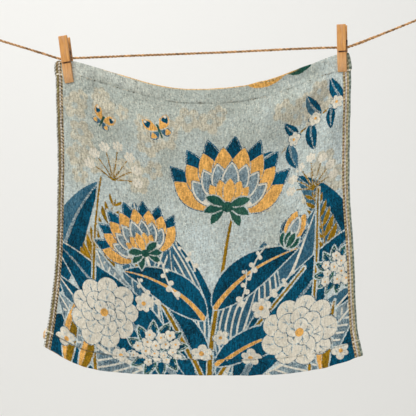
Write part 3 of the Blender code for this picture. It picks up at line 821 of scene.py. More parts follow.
def rosette(x, y, tilt, size):
    """A full round flower: rings of round petals that overlap, each with a dark line, round a yellow eye."""
    for share, count, wide in ((0.70, 9, 0.29), (0.41, 7, 0.25), (0.17, 5, 0.18)):
        for step in range(count):
            heading = tilt + 360.0 * step / count + 90.0 * share
            turn = math.radians(heading)
            away = size * share * (1.0 + 0.05 * math.sin(5.0 * step + x))
            place = (x + away * math.sin(turn), y - away * math.cos(turn))
            disc(*place, size * wide + 1.2, "teal")
            disc(*place, size * wide, "cream")
            for beside in (-14.0, 8.0):
                stroke(*place, heading + beside + 4.0 * step % 7.0, size * wide * 0.72, beside, 0.75, "slate")
    disc(x, y, size * 0.12, "ochre")


def branch(x, y, heading, length, bend, half, yarn, leaf_size):
    """A thin branch with leaves in turn on either side, and a blossom here and there."""
    count = int(length / 15.0)
    stalk = arc_points(x, y, heading, length, bend)
    stroke(x, y, heading, length, bend, half, "olive", 0.9)
    for number in range(count + 1):
        foot = stalk[int(27.9 * (number + 0.6) / (count + 0.7))]
        side = (-1.0) ** number
        turn = heading + bend * number / count + side * (58.0 - 30.0 * (number == count))
        size = leaf_size * (1.0 - 0.22 * (number % 3 == 1))
        leaf(*foot, turn, size, side * 30.0, size * 0.21, yarn, "denim" if number % 3 == 2 else yarn, "slate")
        if number % 2:
            blossom(foot[0] - 5.0 * side, foot[1] - 3.0, 31.0 * number, 7.5)


def fern(x, y, heading, length, bend, wide, yarn):
    """A fern frond: narrow leaflets in pairs up a thin curved stalk, shorter towards the tip."""
    pairs = max(5, int(length / 11.0))
    stalk = arc_points(x, y, heading, length, bend)
    for pair in range(pairs, 0, -1):
        share = pair / (pairs + 0.6)
        size = wide * (1.15 - 0.80 * share)
        for angle in (-50.0, 50.0):
            area, way, side, part = spine(*stalk[int(share * ARC_STEPS)], heading + bend * share + angle, size,
                                          -angle * 0.5, size * 0.13 + 3.0)
            lay(yarn, way - blade_width(part, size * 0.13, 0.5), area)
    stroke(x, y, heading, length, bend, 1.15, yarn)


def umbel(x, y, tilt, size):
    """A flat head of tiny pale flowers on thin rays, as cow parsley has."""
    for angle in (-78, -52, -26, 0, 26, 52, 78):
        ray = (x, y, tilt + angle * 0.8, size * (0.97 - 0.0030 * abs(angle)), angle * 0.30)
        stroke(*ray, 0.85, "olive")
        centre = arc_points(*ray)[-1]
        for turn in range(7):
            away = size * 0.115 * (turn > 0)
            heading = math.radians(60.0 * turn + angle)
            place = centre + away * np.array([math.sin(heading), -0.8 * math.cos(heading)])
            disc(*place, size * 0.036 + 0.5, "cream")


def butterfly(x, y, tilt, size):
    """A plain butterfly with its wings open."""
    for side in (-1.0, 1.0):
        stroke(x, y, tilt + 14.0 * side, size * 0.62, 26.0 * side, 0.75, "teal")
        petal(x, y, tilt + 128.0 * side, size * 0.72, -22.0 * side, size * 0.24, "denim", "ochre")
        petal(x, y, tilt + 62.0 * side, size, -30.0 * side, size * 0.27, "ochre", "teal")
        disc(*arc_points(x, y, tilt + 62.0 * side, size * 0.82, -30.0 * side)[-1], 1.5, "cream")
    stroke(*arc_points(x, y, tilt, size * 0.22, 0.0)[-1], tilt + 180.0, size * 0.66, 0.0, 1.5, "pine")


def berries(x, y, heading, bend, count, size):
    """A short line of pale berries that get smaller, on either side of their stalk in turn."""
    stroke(x, y, heading, 7.6 * count, bend, 0.9, "cream")
    for berry in range(count):
        place = arc_points(x, y, heading, 7.6 * count, bend)[int(ARC_STEPS * (berry + 0.9) / count)]
        disc(place[0] + 3.2 * (-1.0) ** berry, place[1], size * (1.0 - 0.10 * berry), "cream")


# faint clusters of blossoms where the cream weft comes up through the ground: x, y, half width, half height,
# count
MISTS = ((46, 40, 34, 16, 6), (112, 56, 30, 16, 5), (34, 98, 18, 28, 5), (176, 34, 26, 9, 3), (286, 44, 40, 14, 6),
         (306, 128, 22, 26, 5), (98, 104, 26, 16, 4), (30, 186, 16, 26, 4), (248, 126, 12, 18, 2))
faint = np.full(x.shape, FAR)
for mist_x, mist_y, wide, tall, count in MISTS:
    for step in range(count):
        away, turn = math.sqrt((step + 0.5) / count), GOLDEN_TURN * step + mist_x
        size = 12.5 + 4.0 * math.sin(3.1 * step + mist_y)
        area, radius, turn = around(mist_x + wide * away * math.sin(turn), mist_y + tall * away * math.cos(turn), 24.0)
        edge = radius - size * (0.64 + 0.36 * np.abs(np.cos(2.5 * turn + step)) ** 0.7)
        faint[area] = np.minimum(faint[area], np.maximum(edge, 0.20 * size - radius))
mist = 1.0 - ease((faint + 2.0) / 3.5)

# The garden, from the back to the front. A row is what to draw, the values that its figures share, and the
# figures, each with its own. The last two are what the next lengths of the same cloth leave along the hems.
GARDEN = (
    (leaf, ("teal", "denim", "slate"), ((2, 268, 0, 158, 38, 20), (338, 246, -4, 150, -42, 21))),
    (fern, ("olive",), ((44, 250, 6, 116, 14, 34), (304, 240, 10, 104, -30, 34))),
    (mound, ("teal",), ((70, 360, 112, 92), (276, 360, 114, 98), (172, 356, 122, 112))),
    (leaf, ("teal", "denim", "cream"), ((157.4, 336, -62, 180, 8, 26), (195.2, 336, 64, 176, -10, 26))),
    (leaf, ("slate", "denim", "cream"), ((165.2, 336, -36, 196, 20, 26), (186.8, 336, 36, 186, -22, 26))),
    (leaf, ("teal", "denim", "cream"), ((173.6, 336, -8, 168, -8, 26),)),
    (leaf, ("slate", "slate", "cream", 10.0), ((158, 336, -80, 172, 34, 26), (196, 336, 78, 172, -30, 26),
                                               (150, 330, -50, 170, 26, 26), (204, 330, 50, 164, -28, 26))),
    (leaf, ("denim", "denim", "cream"), ((150, 330, -20, 206, 6, 25), (214, 330, 24, 196, 4, 25))),
    (contoured_leaf, ("denim", 6.6), ((166, 330, -22, 168, 20, 31), (196, 326, 22, 156, -12, 32))),
    (leaf, ("teal", "teal", "slate"), ((150, 344, -30, 214, -36, 27), (206, 344, 26, 222, 34, 28),
                                       (168, 344, -4, 118, -40, 20))),
    (stroke, ("olive", 1.1), ((178, 330, 2, 200, 12, 2.5), (170, 330, -22, 176, -22, 2.1),
                              (188, 330, 30, 150, 18, 1.9), (60, 330, -12, 214, 20, 1.7),
                              (282, 330, 8, 196, -4, 1.7))),
    (umbel, (), ((66, 118, 8, 40), (296, 134, -4, 36))),
    (leaf, ("teal", "teal", "ochre"), ((184, 318, 44, 112, 50, 17), (182, 250, 30, 116, 56, 20),
                                       (172, 262, -34, 108, -56, 19))),
    (leaf, ("olive", "ochre", "olive"), ((30, 336, -10, 84, 24, 8), (44, 336, 14, 62, -18, 7),
                                         (296, 338, 4, 84, 20, 8))),
    (branch, ("teal", 32.0), ((338, 48, -100, 92, -30, 1.3),)),
    (flower, (BUD,), ((262, 188, 30, 40),)),
    (flower, (BLOOM, 0.075), ((197, 134, 6, 80), (104, 190, -26, 58))),
    (rosette, (), ((62, 262, 20, 38), (276, 282, 70, 41))),
    (flower_head, (), ((122, 298, 10, 27), (318, 226, 50, 20))),
    (blossom, (), ((104, 246, 10, 11), (24, 304, 40, 12), (234, 250, 20, 12), (222, 306, 80, 12),
                   (170, 300, 15, 12), (190, 282, 35, 9), (84, 306, 0, 10), (318, 316, 35, 10))),
    (butterfly, (), ((120, 50, -24, 21), (54, 56, 28, 17))),
    (berries, (), ((142, 238, -40, 30, 6, 3.4), (206, 250, 34, -40, 6, 3.4), (122, 246, -64, 40, 5, 3.0),
                   (240, 240, 62, -30, 5, 3.0), (160, 206, -14, -30, 4, 2.8), (222, 214, 10, 40, 5, 2.8))),
    (leaf, ("ochre", "olive", "ochre"), ((222, -3, 96, 44, -14, 5),)),
    (leaf, ("pine", "teal", "pine"), ((268, -4, 80, 34, 14, 7),)),
)
for draw, shared, figures in GARDEN:
    for figure in figures:
        draw(*figure, *shared)

# Cotton gauze: matt, slubby yarn in a loose weave, so the colour is broken by every thread and there is no
# gloss. The real threads are 0.4 mm apart, drawn about three times as coarse so that they show.
THREAD_MM = 1.2
STEP_MM = (1.1, 1.1)             # the woven steps that rag every edge of the pattern, across and down
FLECK_MM = (1.15, 1.5)           # the flecks where a thread of another colour comes up
# a thread that lies on top of the weave for a while: which way it is counted and runs, its width and length
FLOATS = (("across", "down", 1.1, 3.8), ("down", "across", 1.1, 2.1))
# soft noise: mm from one hill to the next, across and down, and how rough it is
SOFT_NOISE = ((1.5, 11.0, 0.66), (16.0, 12.0, 0.52), (46.0, 52.0, 0.55), (2.3, 3.6, 0.7), (14.0, 22.0, 0.6))
gauze, tree = new_material("cotton_jacquard_gauze")
places = {name: add(tree, "Attribute", out="Fac", attribute_name=name)
          for name in ("across", "down", "seam", "golden", "reverse", "mist", *YARNS)}
flat_place = add(tree, "CombineXYZ", places["across"], places["down"])
step_cells, fleck_cells = (add(tree, "VectorMath", flat_place, (*size, 1.0), operation="SNAP")
                           for size in (STEP_MM, FLECK_MM))
step_noise, fleck_noise = (add(tree, "TexWhiteNoise", cells) for cells in (step_cells, fleck_cells))
slubs, clouds, tones, soft_flecks, drifts = (
    add(tree, "TexNoise", add(tree, "VectorMath", flat_place, (1.0 / wide, 1.0 / tall, 1.0), operation="MULTIPLY"),
        1.0, 3.0, rough) for wide, tall, rough in SOFT_NOISE)
float_noise = []
for beside, along_it, wide, long in FLOATS:
    thread_line = add(tree, "Math", places[beside], wide, operation="SNAP")
    start = add(tree, "TexWhiteNoise", thread_line, noise_dimensions="1D")
    start = add(tree, "Math", start, long, places[along_it], operation="MULTIPLY_ADD")
    start = add(tree, "Math", start, long, operation="SNAP")
    float_noise.append(add(tree, "TexWhiteNoise", add(tree, "CombineXYZ", thread_line, start, long)))
is_back = add(tree, "Math", places["reverse"], 0.5, operation="GREATER_THAN")

# the ground: pale blue-grey weft over undyed warp, greener and duller towards the top and paler at the left of
# the top hem, with the cream weft coming up in soft patches, and flecked with cream and with dark threads
ground_tone = 0.0
for place, start, end, low, high in ((places["down"], 20.0, 250.0, 0.0, 1.0), (tones, 0.3, 0.7, -0.45, 0.45),
                                     (places["across"], 250.0, 325.0, 0.0, 0.8)):
    ground_tone = add(tree, "Math", ground_tone, add(tree, "MapRange", place, start, end, low, high),
                      operation="ADD")
thread_share = 0.0
for part, weight in ((slubs, 0.7), (float_noise[0], 0.5), (fleck_noise, 0.35)):
    thread_share = add(tree, "Math", part, weight, thread_share, operation="MULTIPLY_ADD")
pale_ground = add(tree, "Mix", ground_tone, "#B6BDB4", "#C6D0CE", data_type="RGBA")
dull_ground = add(tree, "Mix", ground_tone, "#99A098", "#AEBAB9", data_type="RGBA")
pale_hem = add(tree, "Math", add(tree, "MapRange", places["down"], 19.0, 12.0),
               add(tree, "MapRange", places["across"], 135.0, 90.0, 0.0, 0.28), operation="MULTIPLY")
mist_share = add(tree, "Math", clouds, 1.7, places["mist"], operation="MULTIPLY_ADD")
mist_share = add(tree, "Math", step_noise, 0.5, mist_share, operation="MULTIPLY_ADD")
mist_tint = add(tree, "Math", fleck_noise, 0.7, operation="MULTIPLY")
mist_tint = add(tree, "Math", slubs, 0.6, mist_tint, operation="MULTIPLY_ADD")
mist_tint = add(tree, "Mix", mist_tint, "#CCC4AE", "#AEA792", data_type="RGBA")
colour = pale_ground
for share, tint in (
        (add(tree, "MapRange", thread_share, 0.40, 1.15), dull_ground),
        (pale_hem, "#DCDDD2"),
        (add(tree, "MapRange", mist_share, 1.42, 2.02, 0.0, 0.92), mist_tint),
        (add(tree, "MapRange", soft_flecks, 0.50, 0.66, 0.0, 0.09), "#CFC7B0"),
        (add(tree, "MapRange", soft_flecks, 0.42, 0.30, 0.0, 0.05), "#84918F"),
        (add(tree, "MapRange", fleck_noise, 0.78, 0.85, 0.0, 0.34), "#D6D2C2"),
        (add(tree, "MapRange", fleck_noise, 0.14, 0.08, 0.0, 0.34), "#6F7A74")):
    colour = add(tree, "Mix", share, colour, tint, data_type="RGBA")
reverse_share = add(tree, "Math", fleck_noise, 0.5, slubs, operation="MULTIPLY_ADD")
reverse_share = add(tree, "MapRange", reverse_share, 0.45, 1.10)
reverse_ground = add(tree, "Mix", reverse_share, "#D6B782", "#B3A27C", data_type="RGBA")
colour = add(tree, "Mix", is_back, colour, reverse_ground, data_type="RGBA")

# A row is a yarn: its area, main colour, the colour that flecks it, the least and most of that, how it stands
# out of the weave, and the same area's two colours on the back of the cloth.
YARN_LOOKS = (
    ("slate", "#3D5D6D", "#A0ACAC", -0.05, 1.00, 0.25, "#DACFB5", "#B6B29C"),
    ("denim", "#1B4E66", "#577B89", -0.15, 0.85, 0.20, "#CFC2A0", "#A6A892"),
    ("teal", "#022A38", "#045C7B", -0.15, 0.95, 0.05, "#DDD5C1", "#C9BD9B"),
    ("pine", "#14463E", "#3A6350", -0.20, 0.90, 0.30, "#BC9554", "#9C9C80"),
    ("ochre", "#E2AB5C", "#BF8C4C", -0.30, 0.85, 0.30, "#8AA2AA", "#B4B8AA"),
    ("olive", "#A07818", "#5A4A0C", -0.25, 1.00, 0.45, "#94A5A5", "#B9B29A"),
    ("cream", "#DFD8C8", "#CBC2AE", -0.30, 0.95, 0.55, "#55778A", "#8397A0"),
)
ragging = add(tree, "Math", step_noise, 0.8, -0.4, operation="MULTIPLY_ADD")
uneven = add(tree, "MapRange", tones, 0.36, 0.64, -0.20, 0.20)
relief = 0.0
for name, main, fleck, least, most, stands, behind_main, behind_fleck in YARN_LOOKS:
    mask = add(tree, "MapRange", add(tree, "Math", places[name], ragging, operation="ADD"), 0.28, -0.28)
    flecked = add(tree, "TexWhiteNoise", fleck_cells, stands + 2.0 * len(name), noise_dimensions="4D")
    flecked = add(tree, "Math", slubs, 0.9, flecked, operation="MULTIPLY_ADD")
    flecked = add(tree, "MapRange", flecked, 0.10, 1.75, least, most)
    flecked = add(tree, "Math", flecked, uneven, operation="ADD")
    front_tint = add(tree, "Mix", flecked, main, fleck, data_type="RGBA")
    back_tint = add(tree, "Mix", flecked, behind_main, behind_fleck, data_type="RGBA")
    tint = add(tree, "Mix", is_back, front_tint, back_tint, data_type="RGBA")
    colour = add(tree, "Mix", mask, colour, tint, data_type="RGBA")
    relief = add(tree, "Math", mask, stands, relief, operation="MULTIPLY_ADD")
calm = add(tree, "Math", mask, -0.55, 1.0, operation="MULTIPLY_ADD")    # the cream areas are the evenest

# The selvedges: tight columns of olive, grey and brown yarn with a pale line between. A row is a column: mm
# from the towel's left side to its middle, half its width, two colours, a third that it drifts to along the
# side, mm from one rib of the twill or dot of the binding yarn to the next, and how steeply the ribs slant. A
# pale thread crosses them at each seam. The real ribs are 1.3 mm apart, drawn three times as coarse so that
# they show.
SELVEDGE_COLUMNS = (
    (0.70, 0.95, "#E2E2DA", "#6A695A", "#CFC9C6", 3.4, 0.9),
    (3.05, 1.50, "#9C8869", "#655439", "#8B8A52", 3.9, 0.9),
    (5.35, 0.85, "#D6D0C3", "#857B6B", "#C4B6B2", 3.5, 0.0),
    (7.25, 1.10, "#C8B08D", "#332918", "#9A8A66", 3.7, -0.4),
    (338.90, 1.15, "#9BA08D", "#5A645A", "#8B9897", 5.2, 0.0),
    (336.60, 1.20, "#C2B793", "#7F7855", "#B59C7C", 3.9, 0.0),
    (334.65, 0.80, "#D3CFCC", "#A39E9B", "#C9C0B4", 3.5, 0.0),
    (332.70, 1.25, "#CDB28A", "#6E543E", "#B5A878", 3.6, 0.0),
)
on_seam = add(tree, "Math", places["seam"], 0.3, 0.7, operation="COMPARE")
rib_start = add(tree, "Math", slubs, 1.6, operation="MULTIPLY")
drift = add(tree, "Math", step_noise, 0.05, drifts, operation="MULTIPLY_ADD")
drift = add(tree, "MapRange", drift, 0.42, 0.64, 0.0, 0.85)
for middle, half, main, fleck, drifted, pitch, slant in SELVEDGE_COLUMNS:
    inside = add(tree, "Math", places["across"], middle, half, operation="COMPARE")
    ribs = add(tree, "Math", places["across"], slant, places["down"], operation="MULTIPLY_ADD")
    ribs = add(tree, "Math", ribs, 2.0 * math.pi / pitch, rib_start, operation="MULTIPLY_ADD")
    ribs = add(tree, "Math", ribs, operation="SINE")
    flecked = add(tree, "Math", ribs, 0.8, operation="MULTIPLY")
    flecked = add(tree, "Math", fleck_noise, 1.5, flecked, operation="MULTIPLY_ADD")
    flecked = add(tree, "MapRange", flecked, -0.10, 1.55)
    tint = add(tree, "Mix", drift, main, drifted, data_type="RGBA")
    for share, over in ((flecked, fleck), (on_seam, "#DAD1BC")):
        tint = add(tree, "Mix", share, tint, over, data_type="RGBA")
    colour = add(tree, "Mix", inside, colour, tint, data_type="RGBA")
    relief = add(tree, "Math", add(tree, "Math", inside, ribs, operation="MULTIPLY"), -0.7, relief,
                 operation="MULTIPLY_ADD")

# painted shade along each seam, over the shallow groove the thread pulls in: here and there, and all along the lower
# left
seam_way = add(tree, "Math", places["seam"], operation="ABSOLUTE")
here_and_there = add(tree, "Math", add(tree, "MapRange", seam_way, 1.2, 0.4, 0.0, 0.42),
                     add(tree, "MapRange", clouds, 0.44, 0.62), operation="MULTIPLY")
lower_left = add(tree, "Math", add(tree, "MapRange", places["down"], 280.0, 290.0),
                 add(tree, "MapRange", places["across"], 86.0, 64.0), operation="MULTIPLY")
lower_left = add(tree, "Math", lower_left, add(tree, "MapRange", seam_way, 1.1, 0.3, 0.0, 0.66),
                 operation="MULTIPLY")
seam_shade = add(tree, "Math", here_and_there, lower_left, operation="MAXIMUM")
for limit in (add(tree, "Math", places["across"], 170.0, 160.0, operation="COMPARE"),
              add(tree, "Math", 1.0, is_back, operation="SUBTRACT")):
    seam_shade = add(tree, "Math", seam_shade, limit, operation="MULTIPLY")
# the painted shade of the seams is mixed in here, a dark grey-green
colour = add(tree, "Mix", seam_shade, colour, "#3B3F36", data_type="RGBA")

# the rolled edge along the top shows the golden back of the cloth; then the threads' own unevenness
golden_tint = add(tree, "Mix", slubs, "#E0B26C", "#C99A55", data_type="RGBA")
colour = add(tree, "Mix", places["golden"], colour, golden_tint, data_type="RGBA")
streaks = add(tree, "MapRange", slubs, 0.36, 0.64, -0.12, 0.12)
for thread_noise, strength in zip((*float_noise, fleck_noise), (0.48, 0.32, 0.14)):
    streak = add(tree, "Math", thread_noise, strength, -0.5 * strength, operation="MULTIPLY_ADD")
    streaks = add(tree, "Math", streaks, streak, operation="ADD")
streaks = add(tree, "Math", streaks, calm, 1.0, operation="MULTIPLY_ADD")
colour = add(tree, "VectorMath", colour, streaks, operation="SCALE")

# bump: warp and weft threads, the slubs, and the areas that stand out of the ground
bumps = 0.0
for way in ("X", "Y"):
    bumps = add(tree, "Math", bumps, add(tree, "TexWave", flat_place, 2.0 * math.pi / 20.0 / THREAD_MM, 0.7, 1.0,
                                         out="Fac", bands_direction=way), operation="ADD")
for part, weight in ((relief, 1.6), (slubs, 2.2)):
    bumps = add(tree, "Math", part, weight, bumps, operation="MULTIPLY_ADD")
add(tree, "OutputMaterial", add(tree, "BsdfPrincipled", {
    "Base Color": colour, "Roughness": 0.92, "Specular IOR Level": 0.08, "Sheen Weight": 0.03,
    "Sheen Roughness": 0.5,
    "Normal": add(tree, "Bump", {"Strength": 0.60, "Distance": 0.0004, "Height": bumps})}))

rim_x = flat_x[border]
golden_rim = (border_row == 0) * (0.4 * ease((rim_x - 50.0) / 8.0) + 0.6 * ease((rim_x - 68.0) / 10.0))
golden_rim *= 1.0 - ease((rim_x - 270.0) / 16.0)
golden_rim += 0.6 * (border_row == last_row) * ease((rim_x - 8.0) / 4.0) * (1.0 - ease((rim_x - 28.0) / 8.0))
golden = np.zeros(x.shape)
golden[0] = 0.20 * ease((grid_x - 70.0) / 14.0) * (1.0 - ease((grid_x - 270.0) / 16.0))
towel = new_piece("gauze_towel", towel_vertices, towel_faces, gauze)
for name, values in (*yarns.items(), ("across", flat_x), ("down", flat_y), ("mist", mist), ("seam", from_seam)):
    set_values(towel.data, name, over_sheet(values))
set_values(towel.data, "golden", over_sheet(golden, golden_rim, 0.0))
set_values(towel.data, "reverse", over_sheet(np.zeros(x.shape), None, 1.0))

# One map for the whole sheet: the face with its rolled edge on the left, the back on the right. Each has where
# it starts and how wide it is, as shares of the map.
FACE_MAP, BACK_MAP = (0.02, 0.60), (0.67, 0.31)
MAP_TOP, MAP_TALL = 0.98, 0.96
RIM_STEP = 0.004
steps = RIM_STEP * np.arange(1, len(ROLL) + 1)[:, None]
map_x, map_y = flat_x / WIDE_MM, MAP_TOP - MAP_TALL * flat_y / LONG_MM
u = np.concatenate([(FACE_MAP[0] + FACE_MAP[1] * map_x).ravel(),
                    (FACE_MAP[0] + FACE_MAP[1] * map_x[border] + steps * to_right).ravel(),
                    (BACK_MAP[0] + BACK_MAP[1] * map_x[::2, ::2]).ravel()])
v = np.concatenate([map_y.ravel(), (map_y[border] - steps * to_bottom).ravel(), map_y[::2, ::2].ravel()])
corners = np.zeros(len(towel.data.loops), dtype=np.int64)
towel.data.loops.foreach_get("vertex_index", corners)
plan = np.stack([u[corners], v[corners]], axis=1)
on_join = np.zeros(len(corners), dtype=bool)
on_join[4 * len(front_quads):4 * len(front_quads) + 3 * len(joins)] = True
on_join &= corners < back_numbers[0, 0]
ring_place = corners[on_join] - fine[0]
plan[on_join, 0] = (BACK_MAP[0] + BACK_MAP[1] * map_x[border] + RIM_STEP * to_right)[ring_place]
plan[on_join, 1] = (map_y[border] - RIM_STEP * to_bottom)[ring_place]
towel.data.uv_layers.new(name="OFBake").data.foreach_set("uv", plan.ravel())


def on_face(fx, fy):
    """Places on the cloth's face, from mm right and down from its top left corner."""
    column = np.clip((np.asarray(fx) / WIDE_MM - across[0]) / (across[1] - across[0]), 0.0, last_column - 0.001)
    row = np.clip((np.asarray(fy) / LONG_MM - down[0]) / (down[1] - down[0]), 0.0, last_row - 0.001)
    j, i = column.astype(int), row.astype(int)
    s, t = (column - j)[..., None], (row - i)[..., None]
    return ((face[i, j] * (1 - s) + face[i, j + 1] * s) * (1 - t)
            + (face[i + 1, j] * (1 - s) + face[i + 1, j + 1] * s) * t)


# The hem stitches: one line of cotton thread along each seam, grey-brown with paler lengths, in stitches of
# 2 mm. Most sink into the puffy cloth and don't show. The real thread is 0.35 mm, drawn thicker.
STITCH_PITCH = 3.8               # mm from one stitch to the next
STITCH_LONG = 2.0
STITCH_RADIUS = 0.00040
STITCH_ARCH = (-2.0, 0.6, 1.0, 0.6, -2.0)           # how far it stands out along its length
STRAYS = (0.3, 0.35)             # mm along the seam and across it
STITCHED = (10.0, 330.0)         # mm from the left side
SHOWN = 0.11                     # the share that shows, apart from the stretches below
HELD = 0.93                      # no stitch where a peg holds the cloth more firmly than this
thread, tree = new_material("stitching_thread")
tint = add(tree, "TexNoise", add(tree, "TexCoord", out="Object"), 230.0, 2.0)
tint = add(tree, "Mix", add(tree, "MapRange", tint, 0.46, 0.56), "#47412F", "#D2C9B4", data_type="RGBA")
add(tree, "OutputMaterial", add(tree, "BsdfPrincipled", {"Base Color": tint, "Roughness": 0.8}))
# stretches of a seam where more of them show: mm from the left side to the start and end, and the share
TOP_SHOWS = ((20, 46, 0.9), (64, 71, 0.8), (75, 86, 0.8), (226, 242, 0.35), (306, 337, 1.0))
BOTTOM_SHOWS = ((77, 90, 0.8), (158, 206, 0.45), (305, 312, 0.9))
random = np.random.default_rng(8)
stitch_parts = []
for is_top, seam_rows, shows in ((True, TOP_SEAM, TOP_SHOWS), (False, BOTTOM_SEAM, BOTTOM_SHOWS)):
    for start in np.arange(10.0, 327.0, STITCH_PITCH):
        run = np.clip(start + random.uniform(-STRAYS[0], STRAYS[0]) + STITCH_LONG * np.linspace(0.0, 1.0, 5),
                      *STITCHED)
        deep = np.interp(run, *zip(*seam_rows)) + random.uniform(-STRAYS[1], STRAYS[1])
        path = on_face(run, deep if is_top else LONG_MM - deep)
        share = max([SHOWN] + [shown for low, high, shown in shows if low <= start <= high])
        if random.uniform(0.0, 1.0) > share or max(held_by(peg, path[2, 0], path[2, 2]) for peg in PEGS) > HELD:
            continue
        path[:, 1] -= STITCH_RADIUS * 0.7 * np.array(STITCH_ARCH)
        stitch_parts.append(tube(path, STITCH_RADIUS, 6))
stitches = new_piece("hem_stitches", *join_parts(stitch_parts), thread)

# The end of the lower hem: a raw corner of the folded cloth that peeps out beyond the left selvedge. It is
# matt, undyed cotton with golden weft in it. Its outline is in mm from the towel's top left corner.
EAR = ((0.5, 303.0), (-1.9, 305.0), (-2.9, 309.0), (-2.6, 314.0), (-1.2, 316.5), (2.0, 317.0))
EAR_DEPTHS = (0.0006, 0.0013)
hem_tuck, tree = new_material("raw_hem_corner")
tint = add(tree, "TexNoise", add(tree, "TexCoord", out="Object"), 320.0, 3.0)
tint = add(tree, "Mix", add(tree, "MapRange", tint, 0.40, 0.62), "#DDD6C6", "#D2A36A", data_type="RGBA")
add(tree, "OutputMaterial", add(tree, "BsdfPrincipled", {
    "Base Color": tint, "Roughness": 0.92, "Specular IOR Level": 0.2}))
ear = []
for deep in EAR_DEPTHS:
    ear += [on_face(EAR[0][0], ear_y) + ((ear_x - EAR[0][0]) * MM, deep, 0.0) for ear_x, ear_y in EAR]
    ear += [on_face(3.5, ear_y) + (0.0, deep, 0.0) for ear_x, ear_y in reversed(EAR[1:-1])]
size = len(ear) // 2
ear_faces = [tuple(range(size)), tuple(range(2 * size - 1, size - 1, -1))]
ear_faces += [(corner, corner + size, (corner + 1) % size + size, (corner + 1) % size) for corner in range(size)]
hem_corner = new_piece("hem_corner", ear, ear_faces, hem_tuck)

for piece in (towel, stitches, hem_corner):
    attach(piece, "root")
    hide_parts("towel")


# The pegs: two small legs each, sawn from pale birch, their inner faces cut away above the spring so that
# the handles open, with a round notch for the line and a groove for the spring's arm. The left peg's back
# leg is a little shorter. The edges are only lightly rounded.
PEG_WIDE = 0.0095
FRONT_HANDLE = 0.0242
LEG_THICK = 0.0042
HANDLE_THICK = 0.0024
HANDLE_BEVEL = 0.0105
TIP_THICK = 0.0022
TIP_BEVEL = 0.0100
NOTCH_RADIUS = 0.0024
CORNER = 0.0007
WIRE = 0.0011
WIRE_PROUD = 0.00015
COIL_RADIUS = 0.00205
COIL_HEIGHT = 0.0056
COIL_TURNS = 4
GROOVE_DROP = 0.0048
ARM_SHORT = 0.0019
JAW_INNER = 0.0015               # from a peg's middle plane to a leg's inner face
EDGE_ROUND = 0.00032


def arc(centre_out, centre_up, radius, first, last, steps):
    """Points on an arc in a leg's side view; angles in degrees from straight out, up is positive."""
    turns = np.radians(np.linspace(first, last, steps + 1))
    return [(centre_out + radius * math.cos(turn), centre_up + radius * math.sin(turn)) for turn in turns]


def leg_outline(handle):
    """A leg's side view as (out from the peg's middle plane, up from the notch), going round once."""
    outer = JAW_INNER + LEG_THICK
    points = [(outer - HANDLE_THICK + CORNER, handle), (outer - HANDLE_THICK, handle - CORNER),
              (JAW_INNER, HANDLE_BEVEL)]
    for centre_up, radius in ((COIL_HEIGHT, COIL_RADIUS + WIRE / 2.0 + GAP), (0.0, NOTCH_RADIUS)):
        open_angle = math.degrees(math.acos(JAW_INNER / radius))
        points += arc(0.0, centre_up, radius, open_angle, -open_angle, 14)
    points += [(JAW_INNER, -PEG_JAW + CORNER), (JAW_INNER + CORNER, -PEG_JAW),
               (JAW_INNER + TIP_THICK - CORNER, -PEG_JAW), (JAW_INNER + TIP_THICK, -PEG_JAW + CORNER),
               (outer, -PEG_JAW + TIP_BEVEL)]
    groove = WIRE / 2.0 + GAP
    open_angle = math.degrees(math.acos(WIRE_PROUD / groove))
    points += arc(outer + WIRE_PROUD, -GROOVE_DROP, groove, 180.0 + open_angle, 180.0 - open_angle, 10)
    return points + [(outer, handle - CORNER), (outer - CORNER, handle)]


def leg_mesh(side, handle):
    """A leg cut from its side view; `side` is -1 in front of the cloth and 1 behind it."""
    outline = leg_outline(handle)
    count = len(outline)
    vertices = [(end * PEG_WIDE / 2.0, side * out, up) for end in (-1.0, 1.0) for out, up in outline]
    faces = [tuple(range(count)), tuple(range(2 * count - 1, count - 1, -1))]
    for corner in range(count):
        after = (corner + 1) % count
        faces.append((corner, corner + count, after + count, after))
    return vertices, faces if side > 0 else [turned[::-1] for turned in faces]


# Birch: fine straight grain down the leg, with pinkish patches and thin brown streaks. It is sawn and not
# varnished, so it is matt and a little rough. The real grain is 0.3 mm, drawn three times as coarse. Each row
# is mm across the grain and along it, detail and roughness.
WOOD_NOISE = ((0.9, 16.0, 5.0, 0.66), (3.2, 15.0, 3.0, 0.5), (0.8, 7.0, 2.0, 0.5))
birch, tree = new_material("sawn_birch")
place = add(tree, "TexCoord", out="Object")
grain, broad, streak = (add(tree, "TexNoise", {
    "Vector": add(tree, "VectorMath", place, (1000.0 / wide, 1000.0 / wide, 1000.0 / tall), operation="MULTIPLY"),
    "Scale": 1.0, "Detail": detail, "Roughness": rough, "Distortion": 0.4})
    for wide, tall, detail, rough in WOOD_NOISE)
wood_tint = add(tree, "Mix", add(tree, "MapRange", grain, 0.30, 0.70), "#A66B2E", "#D39C5A", data_type="RGBA")
for share, tint in (
        (add(tree, "MapRange", broad, 0.50, 0.72, 0.0, 0.60), "#CDA07E"),
        (add(tree, "MapRange", add(tree, "SeparateXYZ", place, out="Z"), -0.003, -0.014, 0.0, 0.24), "#E2BE98"),
        (add(tree, "MapRange", streak, 0.66, 0.74, 0.0, 0.55), "#7A4A24")):
    wood_tint = add(tree, "Mix", share, wood_tint, tint, data_type="RGBA")
wood_tint = add(tree, "VectorMath", wood_tint, add(tree, "MapRange", broad, 0.3, 0.7, 1.06, 0.90),
                operation="SCALE")
add(tree, "OutputMaterial", add(tree, "BsdfPrincipled", {
    "Base Color": wood_tint, "Roughness": 0.62, "Specular IOR Level": 0.35,
    "Normal": add(tree, "Bump", {"Strength": 0.40, "Distance": 0.0002, "Height": grain})}))

